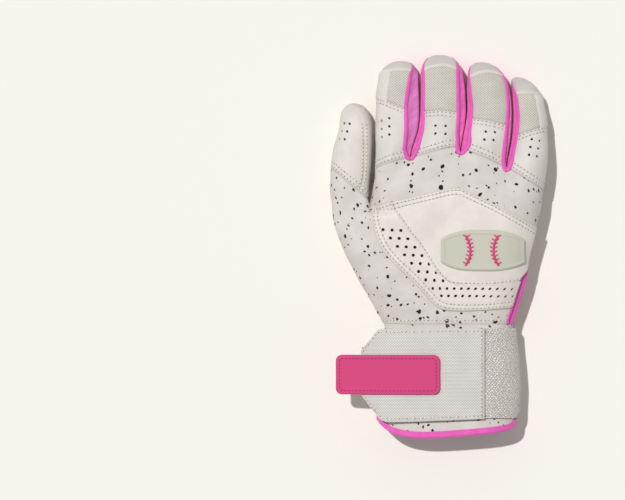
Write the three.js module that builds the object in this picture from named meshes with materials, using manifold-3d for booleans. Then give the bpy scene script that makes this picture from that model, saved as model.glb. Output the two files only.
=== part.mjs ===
// Batting glove for the right hand, lying palm down with its shape left in.
// Millimetres. +X runs to the little-finger side, +Y to the fingertips, +Z out of the back of the hand.
import * as THREE from "three";
import { mergeVertices } from "three/addons/utils/BufferGeometryUtils.js";
import Module from "manifold-3d";

const wasm = await Module();
wasm.setup();

// Sheet thicknesses
const LEATHER = 1.0;
const KNIT = 1.2;
const MESH = 1.1;
const SPANDEX = 0.8;
const CUFF = 2.0;
const FOAM = 0.8;
const BAND = 1.8;
const BINDING = 0.8;
const LOOP_PILE = 1.1;
const HOOK_PILE = 1.1;
const STRAP = 1.8;
const TAB = 1.8;
const BADGE = 1.6;
// Gap between neighbouring pieces, and the gap between fingers at their roots
const CLEARANCE = 0.3;
const FINGER_GAP = 1.2;
// Gap under a piece that is laid on another, which its own facets need over a rounded form
const DRAPE = 0.6;

// Lengths along the hand, from the lowest point of the hem
const HEM_SIDE = 11;
const HEM_BACK_DIP = 11.6;
const HEM_PALM_DIP = 6.4;
const CUFF_TOP = 69.5;
const BAND_TOP = 67;
const THUMB_FORK = 142;
const FOLD_ABOVE_FORK = 4;
const THUMB_FOLD = THUMB_FORK + FOLD_ABOVE_FORK;
const GUSSET_TOP = 103;
const BINDING_TALL = 4;

// Roundness of the sides: superellipse power, and how far in from the edge the full height is reached
const ROUND = 2.3;
const HAND_EDGE = 27;
const WRIST_EDGE = 26;
// Lengths over which the thumb and finger valleys sink in below their forks
const THUMB_VALLEY = 30;
const FINGER_VALLEY = 26;
const PALM_VALLEY = 8;

const mix = (a, b, t) => a + (b - a) * t;
const clamp = (t, a = 0, b = 1) => Math.min(b, Math.max(a, t));
const smooth = (a, b, s) => {
  const t = clamp((s - a) / (b - a));
  return t * t * (3 - 2 * t);
};
// Superellipse quarter: 0 at the edge, 1 at the full height
const rise = (t) => Math.pow(Math.max(0, 1 - Math.pow(1 - clamp(t), ROUND)), 1 / ROUND);

// Smooth curve through [place, value] knots, level beyond both ends
function curve(...knots) {
  const last = knots.length - 1;
  const slope = knots.map((_, i) => {
    const a = knots[Math.max(i - 1, 0)];
    const b = knots[Math.min(i + 1, last)];
    return (b[1] - a[1]) / (b[0] - a[0]);
  });
  return (s) => {
    if (s <= knots[0][0]) return knots[0][1];
    if (s >= knots[last][0]) return knots[last][1];
    const i = knots.findIndex((k) => k[0] > s) - 1;
    const h = knots[i + 1][0] - knots[i][0];
    const t = (s - knots[i][0]) / h;
    const a = mix(knots[i][1], knots[i + 1][1], t * t * (3 - 2 * t));
    return a + h * t * (1 - t) * (slope[i] * (1 - t) - slope[i + 1] * t);
  };
}

// Outlines of the glove seen from above: x at each y
const thumbSide = curve([5, -37.8], [15, -38], [66, -34], [72, -35.5], [80, -40.2], [THUMB_FORK - 41, -52.5],
  [THUMB_FORK - 15, -64], [THUMB_FORK + 3, -66.9], [THUMB_FORK + 16, -67.3], [THUMB_FORK + 30, -66.3],
  [THUMB_FORK + 42, -63.6], [THUMB_FORK + 48, -61.8]);
const littleSide = curve([5, 46.4], [20, 46.8], [35, 47.4], [66, 44.6], [72, 45], [81, 48], [97, 52.6],
  [107, 53.8], [121, 57], [136, 61], [150, 63.2], [165, 65.4], [180, 66.1], [195, 65.4], [204, 63.8]);
const indexSide = curve([70, -12], [82, -15], [THUMB_FORK - 43, -27], [THUMB_FORK - 23, -39],
  [THUMB_FORK - 11, -42.2], [THUMB_FORK, -43], [THUMB_FORK + 8, -41.6], [THUMB_FORK + 23, -39.8],
  [190, -39.4], [203, -39.2], [212, -38.5], [220, -37.2]);
const thumbInner = curve([THUMB_FORK - 22, -41], [THUMB_FORK, -44.2], [THUMB_FORK + 10, -43.5],
  [THUMB_FORK + 22, -42.2], [THUMB_FORK + 34, -41.2], [THUMB_FORK + 48, -41]);
// Middle of the gap between one finger and the next
const GAPS = [
  curve([140, -20.5], [171, -18.4], [176, -17.5], [182, -15.6], [188, -13.7], [199, -12.4], [222, -12.4]),
  curve([140, 10], [175, 12.3], [185, 14], [197, 16], [210, 16.2], [222, 15]),
  curve([134, 37.5], [164, 40.2], [170, 41], [185, 43.6], [200, 44.6], [211, 43.6], [216, 42]),
];
const FORKS = [172.6, 178.2, 166.2];

// Height of the middle of the section, and what rises above it and drops below it
const handMid = curve([0, 18], [66, 18], [100, 20], [130, 21.5], [150, 22.3], [168, 22.5]);
const handUp = curve([0, 16.5], [66, 16.5], [100, 17], [130, 17], [150, 16], [168, 13.8]);
const handDown = curve([0, 16.4], [60, 16.4], [72, 15.3], [100, 15.8], [130, 15.2], [150, 14], [168, 12.6]);
const fromFork = (...knots) => curve(...knots.map(([up, value]) => [THUMB_FORK + up, value]));
const thumbMid = fromFork([-32, 17], [0, 14.6], [28, 11], [48, 8], [63, 6]);
const thumbUp = fromFork([-32, 14], [0, 12], [28, 11], [48, 9.2]);
const thumbDown = fromFork([-32, 13], [0, 10.8], [28, 9.8], [48, 8.4]);
const edgeLeft = curve([60, WRIST_EDGE], [100, HAND_EDGE], [THUMB_FORK, 12], [THUMB_FORK + 26, 12.5]);
const edgeIndex = curve([100, HAND_EDGE], [THUMB_FORK, 22], [THUMB_FORK + 26, 11]);
const edgeRight = curve([60, WRIST_EDGE], [100, HAND_EDGE], [135, 22], [164, 12]);

// Seams seen from above
const knuckleSeam = curve([-42, 164.3], [-27.6, 169.3], [-12, 173], [9.8, 178], [18.4, 174.9], [30.7, 169.9],
  [43, 163.9], [55, 156.6], [66, 149.4]);
const fingerFold = curve([-40, 166.5], [-28, 168.2], [-3, 169.6], [26, 167.2], [42, 163.6], [60, 158]);
const thumbSeam = curve([-67, THUMB_FORK + 23], [-56, THUMB_FORK + 14], [-42, THUMB_FORK + 2.6]);
const panelTop = curve([-44, 141], [-24.5, 145.4], [-6, 149.7], [9.8, 152.8], [18.4, 149.7], [43, 137.4],
  [61, 127]);
const forkLine = curve([-40, 168], [-18.4, FORKS[0]], [12.3, FORKS[1]], [40.2, FORKS[2]], [62, 156]);

// Hem of the cuff: lowest in the middle of the back, higher at the sides
const across = (x, y) => {
  const [l, r] = [thumbSide(y), littleSide(y)];
  return (2 * x - l - r) / (r - l);
};
function hem(x, side) {
  const t = clamp(across(x, HEM_SIDE), -1, 1);
  return HEM_SIDE - (side > 0 ? HEM_BACK_DIP : HEM_PALM_DIP) * Math.sqrt(1 - t * t);
}

// How far a valley lets the surface up: full height at distance r from the valley line
const valley = (d, r, w) => 1 - w * (1 - mix(smooth(0, r, d), rise(d / r), w));

// The hand: one height field from hem to finger roots, with valleys running down from the forks
const hand = {
  span: (y) => [y < THUMB_FORK ? thumbSide(y) : indexSide(y), littleSide(y)],
  thumbness: (x, y) => smooth(THUMB_FORK - THUMB_VALLEY, THUMB_FORK, y)
    * (1 - smooth(-9, 9, x - indexSide(y))) * (1 - smooth(THUMB_FORK, THUMB_FORK + 15, y)),
  share(x, y, side) {
    const fork = smooth(THUMB_FORK - THUMB_VALLEY, THUMB_FORK, y);
    const toLine = x - indexSide(y);
    let s = rise((littleSide(y) - x) / edgeRight(y));
    if (y < THUMB_FORK) {
      s *= rise((x - thumbSide(y)) / edgeLeft(y));
      s *= valley(Math.abs(toLine), toLine < 0 ? 11.5 : edgeIndex(y), fork);
    } else s *= rise(toLine / edgeIndex(y));
    const run = side > 0 ? FINGER_VALLEY : PALM_VALLEY;
    const sink = smooth(forkLine(x) - run, forkLine(x), y);
    for (const gap of GAPS) s *= valley(Math.max(0, Math.abs(x - gap(y)) - FINGER_GAP / 2), 13, sink);
    return s;
  },
  mid: (x, y) => mix(handMid(y), thumbMid(y), hand.thumbness(x, y)),
  up: (x, y) => mix(handUp(y), thumbUp(y), hand.thumbness(x, y)),
  down: (x, y) => mix(handDown(y), thumbDown(y), hand.thumbness(x, y)),
  rest: (y) => (y < CUFF_TOP ? DRAPE + BAND : 0),
};

// A finger or thumb: superellipse sections that end in a round cap
function digit({ left, right, root, tip, cap, lean, mid, up, down, below }) {
  const start = tip - cap;
  const place = (y) => {
    const t = clamp((y - start) / cap);
    const s = Math.min(y, start);
    return { x: (left(s) + right(s)) / 2 + lean * t * t, a: (right(s) - left(s)) / 2, t };
  };
  const narrow = (y, share = 1) => {
    const t = clamp((y - start) / cap);
    return Math.pow(Math.max(0, Math.pow(share, ROUND) - Math.pow(t, ROUND)), 1 / ROUND);
  };
  const own = (y) => y >= root;
  return {
    left, right, root, tip, cap, start, place, narrow,
    span(y) {
      if (!own(y)) return below.span(y);
      const p = place(y);
      return [p.x - p.a * narrow(y), p.x + p.a * narrow(y)];
    },
    share(x, y, side) {
      if (!own(y)) return below.share(x, y, side);
      const p = place(y);
      const t = Math.abs(x - p.x) / p.a;
      return Math.pow(Math.max(0, 1 - Math.pow(t, ROUND) - Math.pow(p.t, ROUND)), 1 / ROUND);
    },
    mid: (x, y) => (own(y) ? mid(x, y) : below.mid(x, y)),
    up: (x, y) => (own(y) ? up(x, y) : below.up(x, y)),
    down: (x, y) => (own(y) ? down(x, y) : below.down(x, y)),
    rest: () => 0,
  };
}

// Thumb, parted from the hand above the fork
const THUMB_LONG = 63;
const THUMB_TIP = THUMB_FORK + THUMB_LONG;
const THUMB_CAP = 15;
const thumbBlend = (x, y) => mix(1 - smooth(-9, 9, x - indexSide(THUMB_FORK)), 1,
  smooth(THUMB_FORK, THUMB_FORK + 15, y));
const thumb = digit({
  left: thumbSide, right: thumbInner, root: THUMB_FORK, tip: THUMB_TIP, cap: THUMB_CAP, lean: -0.6,
  mid: (x, y) => mix(handMid(y), thumbMid(y), thumbBlend(x, y)),
  up: (x, y) => mix(handUp(y), thumbUp(y), thumbBlend(x, y)),
  down: (x, y) => mix(handDown(y), thumbDown(y), thumbBlend(x, y)),
  below: hand,
});

// Fingers, index to little: tip and cap length, height and sideways lean of the tip, ends of the mesh panel,
// and how wide the pink sidewall looks from the back on each side (0 where there is none)
const FINGERTIP_THICK = 0.7;
const FINGER_SPECS = {
  index: { tip: 231.3, cap: 11.5, tipHigh: 5, lean: 2, mesh: [202.5, 224], wall: [0, 8.6] },
  middle: { tip: 235, cap: 13, tipHigh: 4.8, lean: -1.2, mesh: [199.5, 226.5], wall: [2.6, 4.6] },
  ring: { tip: 230.7, cap: 19.5, tipHigh: 3.3, lean: -4.4, mesh: [195, 222], wall: [3.2, 4.2] },
  little: { tip: 221.5, cap: 17.5, tipHigh: 3.6, lean: -6.5, mesh: [190, 211], wall: [3.6, 0] },
};
const NAMES = Object.keys(FINGER_SPECS);
const fingers = NAMES.map((name, i) => {
  const spec = FINGER_SPECS[name];
  const left = i === 0 ? indexSide : (y) => GAPS[i - 1](y) + FINGER_GAP / 2;
  const right = i === 3 ? littleSide : (y) => GAPS[i](y) - FINGER_GAP / 2;
  const root = Math.max(FORKS[Math.max(i - 1, 0)], FORKS[Math.min(i, 2)]);
  const start = spec.tip - spec.cap;
  const taper = (y) => mix(1, FINGERTIP_THICK, smooth(root, start, y));
  const along = (y) => clamp((y - root) / (spec.tip - root));
  const finger = digit({
    left, right, root, tip: spec.tip, cap: spec.cap, lean: spec.lean, below: hand,
    mid: (x, y) => mix(handMid(root), spec.tipHigh, along(y) ** 1.5),
    up: (x, y) => handUp(root) * taper(y),
    down: (x, y) => handDown(root) * taper(y),
  });
  return Object.assign(finger, { name, spec, first: i === 0, last: i === 3 });
});

// A point of the glove's skin: side +1 is the back, -1 the palm; offset runs outward along the normal
const STEP = 0.2;
function skin(zone, x, y, side, offset) {
  const height = (px, py) => {
    const full = side > 0 ? zone.up(px, py) : zone.down(px, py);
    return zone.mid(px, py) + side * Math.max(full * zone.share(px, py, side), CLEARANCE);
  };
  const [l, r] = zone.span(y);
  const z = height(x, y);
  const dx = x < (l + r) / 2 ? STEP : -STEP;
  const normal = new THREE.Vector3(
    -(height(x + dx, y) - z) / dx,
    -(z - height(x, y - STEP)) / STEP,
    1,
  ).multiplyScalar(side);
  const p = new THREE.Vector3(x, y, z).addScaledVector(normal.normalize(), offset);
  p.z = Math.max(p.z, zone.rest(y) - offset);
  return p;
}

// Closed solid swept over a grid: point(u, v, layer) for layer 0 (inside) and 1 (outside)
function sheet(point, columns, rows, ring = false) {
  const wide = ring ? columns : columns + 1;
  const tall = rows + 1;
  const at = (i, j, k) => (k * tall + j) * wide + (i % wide);
  const positions = [];
  for (let k = 0; k < 2; k++) {
    for (let j = 0; j < tall; j++) {
      for (let i = 0; i < wide; i++) positions.push(...point(i / columns, j / rows, k));
    }
  }
  const index = [];
  const quad = (a, b, c, d) => index.push(a, b, c, a, c, d);
  for (let j = 0; j < rows; j++) {
    for (let i = 0; i < columns; i++) {
      quad(at(i, j, 1), at(i + 1, j, 1), at(i + 1, j + 1, 1), at(i, j + 1, 1));
      quad(at(i, j, 0), at(i, j + 1, 0), at(i + 1, j + 1, 0), at(i + 1, j, 0));
    }
  }
  for (let i = 0; i < columns; i++) {
    quad(at(i, 0, 0), at(i + 1, 0, 0), at(i + 1, 0, 1), at(i, 0, 1));
    quad(at(i, rows, 1), at(i + 1, rows, 1), at(i + 1, rows, 0), at(i, rows, 0));
  }
  for (let j = 0; j < rows && !ring; j++) {
    quad(at(0, j, 1), at(0, j + 1, 1), at(0, j + 1, 0), at(0, j, 0));
    quad(at(columns, j, 0), at(columns, j + 1, 0), at(columns, j + 1, 1), at(columns, j, 1));
  }
  return facingOut(positions, index);
}

// A geometry whose faces point out, whichever way its grid was walked
function facingOut(positions, index) {
  const p = (i) => new THREE.Vector3().fromArray(positions, 3 * i);
  let volume = 0;
  for (let i = 0; i < index.length; i += 3) {
    volume += p(index[i]).dot(p(index[i + 1]).cross(p(index[i + 2])));
  }
  if (volume < 0) index.reverse();
  const geometry = new THREE.BufferGeometry();
  geometry.setAttribute("position", new THREE.Float32BufferAttribute(positions, 3));
  geometry.setIndex(index);
  return geometry;
}

// Plan patch between side lines left(y), right(y) and end lines low(x), high(x)
const even = (t) => t;
const rounded = (t) => (1 - Math.cos(Math.PI * t)) / 2;
const roundedStart = (t) => 1 - Math.cos((Math.PI * t) / 2);
const roundedEnd = (t) => Math.sin((Math.PI * t) / 2);
function field(left, right, low, high, ease = even, easeUp = even) {
  return (u, t) => {
    const v = easeUp(t);
    let x = (left(low(0)) + right(low(0))) / 2;
    let y = mix(low(x), high(x), v);
    for (let i = 0; i < 6; i++) {
      x = mix(left(y), right(y), ease(u));
      y = mix(low(x), high(x), v);
    }
    return [x, y];
  };
}
const flat = (value) => () => value;
const shift = (line, by) => (s) => line(s) + by;
const SEAM = CLEARANCE / 2;

// Panel of the skin on one side, between two offsets
function panel(zone, side, plan, inner, outer, columns, rows) {
  return sheet((u, v, k) => {
    const [x, y] = plan(u, v);
    return skin(zone, x, y, side, k ? outer : inner);
  }, columns, rows);
}

// Two closed geometries joined into one, with no void left where their sheets lap
function join(a, b) {
  const [first, second] = [a, b].map((geometry) => {
    const merged = mergeVertices(geometry, 1e-3);
    return new wasm.Manifold(new wasm.Mesh({
      numProp: 3,
      vertProperties: merged.attributes.position.array,
      triVerts: new Uint32Array(merged.index.array),
    }));
  });
  const pieces = first.add(second).decompose();
  const made = pieces.reduce((a, b) => (a.volume() > b.volume() ? a : b)).getMesh();
  const geometry = new THREE.BufferGeometry();
  geometry.setAttribute("position", new THREE.BufferAttribute(made.vertProperties, 3));
  geometry.setIndex(new THREE.BufferAttribute(made.triVerts, 1));
  return geometry;
}

const COLOURS = {
  leather: [0xdedad3, 0.55],
  patch: [0xe4dfd9, 0.5],
  knit: [0xd9d5ce, 0.85],
  mesh: [0xd3cec8, 0.75],
  pink: [0xf062b8, 0.7],
  badge: [0xcfcdbf, 0.5],
  rubber: [0xd9457e, 0.45],
  woven: [0xe0dcd6, 0.9],
  pile: [0xcac6c0, 0.95],
  foam: [0xe8e4dd, 0.95],
};
const glove = new THREE.Group();
function add(name, geometry, kind) {
  const [color, roughness] = COLOURS[kind];
  const material = new THREE.MeshStandardMaterial({ color, roughness, metalness: 0 });
  const mesh = new THREE.Mesh(geometry, material);
  mesh.name = name;
  glove.add(mesh);
}

// Ulnar wrist insert: a lens at the little-finger edge, wider on the back
const GUSSET_BACK = 4;
const GUSSET_PALM = 2.5;
const GUSSET_TAPER = 20;
const lens = (y) => 1 - smooth(GUSSET_TOP - GUSSET_TAPER, GUSSET_TOP, y);
const backEdge = (y) => littleSide(y) - (GUSSET_BACK + DRAPE) * lens(y);
const palmEdge = (y) => littleSide(y) - (GUSSET_PALM + DRAPE) * lens(y);
add("wrist_gusset", sheet((u, v, k) => {
  const y = mix(CUFF_TOP + SEAM, GUSSET_TOP - GUSSET_TAPER / 5, u);
  const s = 2 * v - 1;
  const wide = (s > 0 ? GUSSET_BACK : GUSSET_PALM) * lens(y);
  return skin(hand, littleSide(y) - wide * s * s, y, s >= 0 ? 1 : -1, k ? 0 : -SPANDEX);
}, 10, 6), "pink");

// Back of the hand: stretch fabric in two pieces, then the leather laid over it
add("back_knit", panel(hand, 1, field(shift(indexSide, SEAM), backEdge, flat(CUFF_TOP + SEAM),
  shift(knuckleSeam, -SEAM), roundedEnd), -KNIT, 0, 18, 14), "knit");
const thumbKnitEdge = (y) => Math.min(indexSide(y) - DRAPE, y < THUMB_FORK - 10 ? Infinity : thumbInner(y));
const thumbKnit = field(thumbSide, thumbKnitEdge, flat(CUFF_TOP + SEAM), shift(thumbSeam, -SEAM), rounded);
add("thumb_knit", panel(thumb, 1, thumbKnit, -KNIT, 0, 10, 11), "knit");

const LAID_ON = DRAPE;
const bandOuter = new THREE.SplineCurve([[-37.6, 138.6], [-35.4, 130], [-31.6, 120], [-23.5, 100.5],
  [-14.7, 89.6], [-3, 79.6], [7, 77.3], [22, 77.6], [43, 79.8]].map((p) => new THREE.Vector2(...p)));
const bandInner = new THREE.SplineCurve([[-30.4, 142.6], [-24.5, 132.5], [-18.7, 123.3], [-10.4, 111.7],
  [-2.5, 102.5], [4.5, 95.6], [14, 93.2], [30, 92.7], [45, 95]].map((p) => new THREE.Vector2(...p)));
add("back_vent_band", panel(hand, 1, (u, v) => {
  const outer = bandOuter.getPoint(u);
  const inner = bandInner.getPoint(u);
  return outer.lerp(inner, v).toArray();
}, LAID_ON, LAID_ON + LEATHER, 20, 4), "leather");
const centreLeft = shift(curve([93, 14], [95.6, 4.5], [102.5, -2.5], [111.7, -10.4], [123.3, -18.7],
  [132.5, -24.5], [142.6, -30.4]), CLEARANCE + 0.4);
const centreLow = shift(curve([4, 95.6], [14, 93.2], [30, 92.7], [45, 95], [50, 97]), CLEARANCE + 0.2);
const centrePlan = field(centreLeft, (y) => backEdge(y) - 1, centreLow, panelTop, roundedEnd);
add("back_centre_panel", panel(hand, 1, centrePlan, LAID_ON, LAID_ON + LEATHER, 14, 8), "leather");
const BADGE_SIZE = [50, 25];
const BADGE_AT = [25, 114.5];
const badgeHalf = (x) => (BADGE_SIZE[1] / 2) * rise(1.12 - Math.abs(x - BADGE_AT[0]) / (BADGE_SIZE[0] / 2));
const badgeOn = LAID_ON + LEATHER + CLEARANCE;
const badgePlan = field(flat(BADGE_AT[0] - BADGE_SIZE[0] / 2), flat(BADGE_AT[0] + BADGE_SIZE[0] / 2),
  (x) => BADGE_AT[1] - badgeHalf(x), (x) => BADGE_AT[1] + badgeHalf(x), rounded);
add("back_badge", panel(hand, 1, badgePlan, badgeOn, badgeOn + BADGE, 12, 4), "badge");

// Palm: one leather with the front of the thumb base, a foam and a patch laid on it
const palmPlan = field(indexSide, palmEdge, flat(CUFF_TOP + SEAM), shift(fingerFold, -SEAM), roundedEnd);
const palmHand = panel(hand, -1, palmPlan, -LEATHER, 0, 18, 12);
const palmThumbEdge = (y) => (y < THUMB_FORK - 2 ? indexSide(y) + 0.5 : thumbInner(y));
const palmThumbPlan = field(thumbSide, palmThumbEdge, flat(CUFF_TOP + SEAM), flat(THUMB_FOLD - SEAM),
  roundedStart);
const palmThumb = panel(thumb, -1, palmThumbPlan, -LEATHER, 0, 9, 10);
add("palm_leather", join(palmHand, palmThumb), "leather");
const patchLeft = curve([97, 20], [105, 15.3], [113, 10.4], [120.6, 4.3], [126.7, -4.9], [132.2, -14.1],
  [139, -27], [163, -29]);
const patchTop = curve([-30, 162.4], [-5, 164.4], [35, 161.4], [44, 159.6], [52, 155.5], [58, 150.5]);
const PATCH_LOW = 97;
const PATCH_EDGE = 3;
const patchOn = DRAPE + FOAM + DRAPE;
add("palm_patch", panel(hand, -1, field(patchLeft, shift(littleSide, -PATCH_EDGE), flat(PATCH_LOW), patchTop),
  patchOn, patchOn + LEATHER, 14, 9), "patch");
const FOAM_INSET = 9;
const foamPlan = field(shift(patchLeft, FOAM_INSET), shift(littleSide, -PATCH_EDGE - FOAM_INSET),
  flat(PATCH_LOW + FOAM_INSET), shift(patchTop, -FOAM_INSET));
add("palm_foam", panel(hand, -1, foamPlan, DRAPE, DRAPE + FOAM, 12, 8), "foam");

// Cuff ring, its hem binding and the pull loop
const ringPoint = (u) => {
  const side = u < 0.5 ? 1 : -1;
  const t = (u < 0.5 ? 1 : -1) * Math.cos(2 * Math.PI * (u % 0.5));
  return { side, x: (y) => mix(thumbSide(y), littleSide(y), (1 + t) / 2) };
};
const RING = 40;
function ringSkin(u, y, offset) {
  const at = ringPoint(u);
  const p = skin(hand, at.x(y), y, at.side, offset);
  const edge = u === 0 || u === 0.5;
  if (edge) p.z = handMid(y);
  return p;
}
const ringHem = (u) => hem(ringPoint(u).x(HEM_SIDE), ringPoint(u).side);
const cuffSkin = (u, v, k) => ringSkin(u, mix(ringHem(u), CUFF_TOP - SEAM, v * v), k ? 0 : -CUFF);
add("cuff", sheet(cuffSkin, RING, 5, true), "knit");
const bindOut = CLEARANCE + BINDING;
const bindIn = CUFF + CLEARANCE + BINDING;
const bindingSection = [
  [[-bindIn, BINDING_TALL], [-bindIn, -bindOut], [bindOut, -bindOut], [bindOut, BINDING_TALL]],
  [[BINDING - bindIn, BINDING_TALL], [BINDING - bindIn, -CLEARANCE], [CLEARANCE, -CLEARANCE],
    [CLEARANCE, BINDING_TALL]],
];
add("cuff_binding", sheet((u, v, k) => {
  const [offset, up] = bindingSection[1 - k][Math.round(v * 3)];
  return ringSkin(u, ringHem(u) + up, offset);
}, RING, 3, true), "pink");
const PULL_WIDE = 23;
const PULL_AT = 10.7;
const PULL_DROP = 5;
const pullOn = bindOut + CLEARANCE;
const palmHem = (x) => hem(x, -1) - bindOut;
add("pull_loop", panel(hand, -1, field(flat(PULL_AT - PULL_WIDE / 2), flat(PULL_AT + PULL_WIDE / 2),
  shift(palmHem, -PULL_DROP), shift(palmHem, BINDING_TALL)), pullOn, DRAPE + BAND, 6, 4), "pink");

// Woven band: from the thumb side across the palm and round the little-finger edge to the strap root
const STRAP_ROOT = 27;
const STRAP_LAP = 5;
const BAND_START = 1.5;
const BAND_PALM_LOW = 10;
const BAND_BACK_LOW = 12;
function bandPlace(u) {
  const y = BAND_TOP / 2;
  const palmRun = littleSide(y) - thumbSide(y) - BAND_START;
  const backRun = littleSide(y) - (STRAP_ROOT - STRAP_LAP);
  const turn = palmRun / (palmRun + backRun);
  if (u <= turn) {
    const s = rounded(u / turn);
    return { side: -1, x: (w) => mix(thumbSide(w) + BAND_START, littleSide(w), s) };
  }
  const t = roundedStart((u - turn) / (1 - turn));
  return { side: 1, x: (w) => mix(littleSide(w), STRAP_ROOT - STRAP_LAP, t) };
}
add("wrist_band", sheet((u, v, k) => {
  const at = bandPlace(u);
  const x = at.x(HEM_SIDE);
  const least = at.side < 0 ? BAND_PALM_LOW : BAND_BACK_LOW;
  const low = Math.max(least, hem(x, at.side) + BINDING_TALL + 2 * DRAPE);
  const y = mix(low, BAND_TOP, v);
  return skin(hand, at.x(y), y, at.side, k ? DRAPE + BAND : DRAPE);
}, 32, 3), "woven");
const LOOP_FROM = -29;
const LOOP_TO = 20;
const LOOP_LOW = 17;
const LOOP_HIGH = 63;
add("loop_panel", panel(hand, 1, field(flat(LOOP_FROM), flat(LOOP_TO), flat(LOOP_LOW), flat(LOOP_HIGH)),
  DRAPE, DRAPE + LOOP_PILE, 12, 4), "pile");

// Strap: lies over the loop panel and runs straight on past the thumb-side edge of the cuff
const STRAP_END = -48.5;
const strapOn = DRAPE + LOOP_PILE + CLEARANCE + HOOK_PILE + CLEARANCE;
const cuffCrown = handMid(40) + handUp(40);
const strapZ = (x) => cuffCrown + strapOn
  - 0.0022 * Math.min(0, x + 8) ** 2 - 0.0014 * Math.max(0, x - 5) ** 2;
function strapSheet(plan, inner, outer, columns, rows) {
  return sheet((u, v, k) => {
    const [x, y] = plan(u, v);
    return new THREE.Vector3(x, y, strapZ(x) + (k ? outer : inner));
  }, columns, rows);
}
const strapLow = curve([STRAP_END, 26.4], [-40, 15.3], [-36.2, 11], [-30, 9.8], [STRAP_ROOT, 11.7]);
const strapHigh = curve([STRAP_END, 53.4], [-43, 60], [-38, 66], [-30, 66.6], [STRAP_ROOT, 66.9]);
const strapPlan = field(flat(STRAP_END), flat(STRAP_ROOT), strapLow, strapHigh);
add("strap_end", strapSheet(strapPlan, 0, STRAP, 24, 4), "woven");
const HOOK_FROM = -36;
const HOOK_TO = -4;
const HOOK_INSET = 5;
add("hook_pad", strapSheet(field(flat(HOOK_FROM), flat(HOOK_TO), flat(LOOP_LOW + HOOK_INSET),
  flat(LOOP_HIGH - HOOK_INSET)),
  -CLEARANCE - HOOK_PILE, -CLEARANCE, 10, 2), "pile");
const TAB_FROM = -63.2;
const TAB_TO = -0.6;
const TAB_LOW = 26.6;
const TAB_HIGH = 50.8;
const TAB_CORNER = 3.6;
const corner = (x, from, to) => {
  const d = Math.min(x - from, to - x);
  return d > TAB_CORNER ? 0 : TAB_CORNER - Math.sqrt(Math.max(0, TAB_CORNER ** 2 - (TAB_CORNER - d) ** 2));
};
const tabPlan = field(flat(TAB_FROM), flat(TAB_TO), (x) => TAB_LOW + corner(x, TAB_FROM, TAB_TO),
  (x) => TAB_HIGH - corner(x, TAB_FROM, TAB_TO), rounded);
add("tab_front", strapSheet(tabPlan, STRAP + CLEARANCE, STRAP + CLEARANCE + TAB, 20, 2), "rubber");
const tabBackTo = STRAP_END - CLEARANCE;
const tabBackPlan = field(flat(TAB_FROM), flat(tabBackTo), (x) => TAB_LOW + corner(x, TAB_FROM, TAB_TO),
  (x) => TAB_HIGH - corner(x, TAB_FROM, TAB_TO), roundedStart);
add("tab_back", strapSheet(tabBackPlan, 0, STRAP, 8, 2), "rubber");

// Thumb: front and back leathers that meet at its sides
const CAP_END = 0.985;
const thumbEnd = THUMB_TIP - THUMB_CAP * (1 - CAP_END);
add("thumb_back", panel(thumb, 1, field((y) => thumb.span(y)[0], (y) => thumb.span(y)[1],
  shift(thumbSeam, SEAM), flat(thumbEnd), rounded, roundedEnd), -LEATHER, 0, 10, 9), "leather");
add("thumb_front", panel(thumb, -1, field((y) => thumb.span(y)[0], (y) => thumb.span(y)[1],
  flat(THUMB_FOLD + SEAM), flat(thumbEnd), rounded, roundedEnd), -LEATHER, 0, 10, 10), "leather");

// Fingers: front leather, pink sidewall, and three back panels
const PALM_WALL = 2.8;
const TIP_WALL = 0.04;
const WALL_TRIM = 0.06;
// 0 along the finger, 1 at its tip; a side with no wall keeps its plain seam until well round the tip
const LATE = 0.55;
const overTip = (finger, which, y) =>
  smooth(finger.start + (finger.spec.wall[which] ? 0 : LATE * finger.cap), finger.tip, y);
function sidewallShare(finger, which, y) {
  const wall = finger.spec.wall[which];
  const side = wall ? 1 - wall / finger.place(finger.start).a : 1;
  return mix(side, 1 - TIP_WALL, overTip(finger, which, y));
}
function palmShare(finger, which, y) {
  const inset = 1 - PALM_WALL / finger.place(finger.start).a;
  return mix(finger.spec.wall[which] ? inset : 1, inset, overTip(finger, which, y));
}
// Side line of a finger panel: which 0 is the thumb side, 1 the little-finger side
function sideLine(finger, which, share) {
  const sign = which ? 1 : -1;
  return (y) => {
    const p = finger.place(y);
    const gap = share(finger, which, y) < 1 ? SEAM : 0;
    return p.x + sign * (p.a * finger.narrow(y, share(finger, which, y)) - gap);
  };
}
for (const finger of fingers) {
  const { name, spec, start, cap, tip } = finger;
  const lines = [0, 1].map((which) => sideLine(finger, which, sidewallShare));
  const palmLines = [0, 1].map((which) => sideLine(finger, which, palmShare));
  const [meshLow, meshHigh] = spec.mesh;
  const middle = (finger.left(start) + finger.right(start)) / 2;
  const arch = (level) => (x) => level - 0.012 * (x - middle) ** 2;
  const ease = finger.first ? roundedStart : finger.last ? roundedEnd : even;
  const back = (low, high, rows, thick) =>
    panel(finger, 1, field(...lines, low, high, ease), -thick, 0, 9, rows);
  add(name + "_knuckle_panel", back(shift(knuckleSeam, SEAM), flat(meshLow - SEAM), 5, LEATHER), "leather");
  add(name + "_mesh", back(flat(meshLow + SEAM), shift(arch(meshHigh), -SEAM), 4, MESH), "mesh");
  const capEnd = start + cap * (1 - TIP_WALL) * CAP_END;
  add(name + "_tip_cap", back(shift(arch(meshHigh), SEAM), flat(capEnd), 4, LEATHER), "leather");
  const frontEnd = start + cap * palmShare(finger, 0, tip) * CAP_END;
  const frontPlan = field(...palmLines, shift(fingerFold, SEAM), flat(frontEnd), ease, roundedEnd);
  add(name + "_front", panel(finger, -1, frontPlan, -LEATHER, 0, 9, 9), "leather");
  add(name + "_gusset", gusset(finger), "pink");
}

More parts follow.
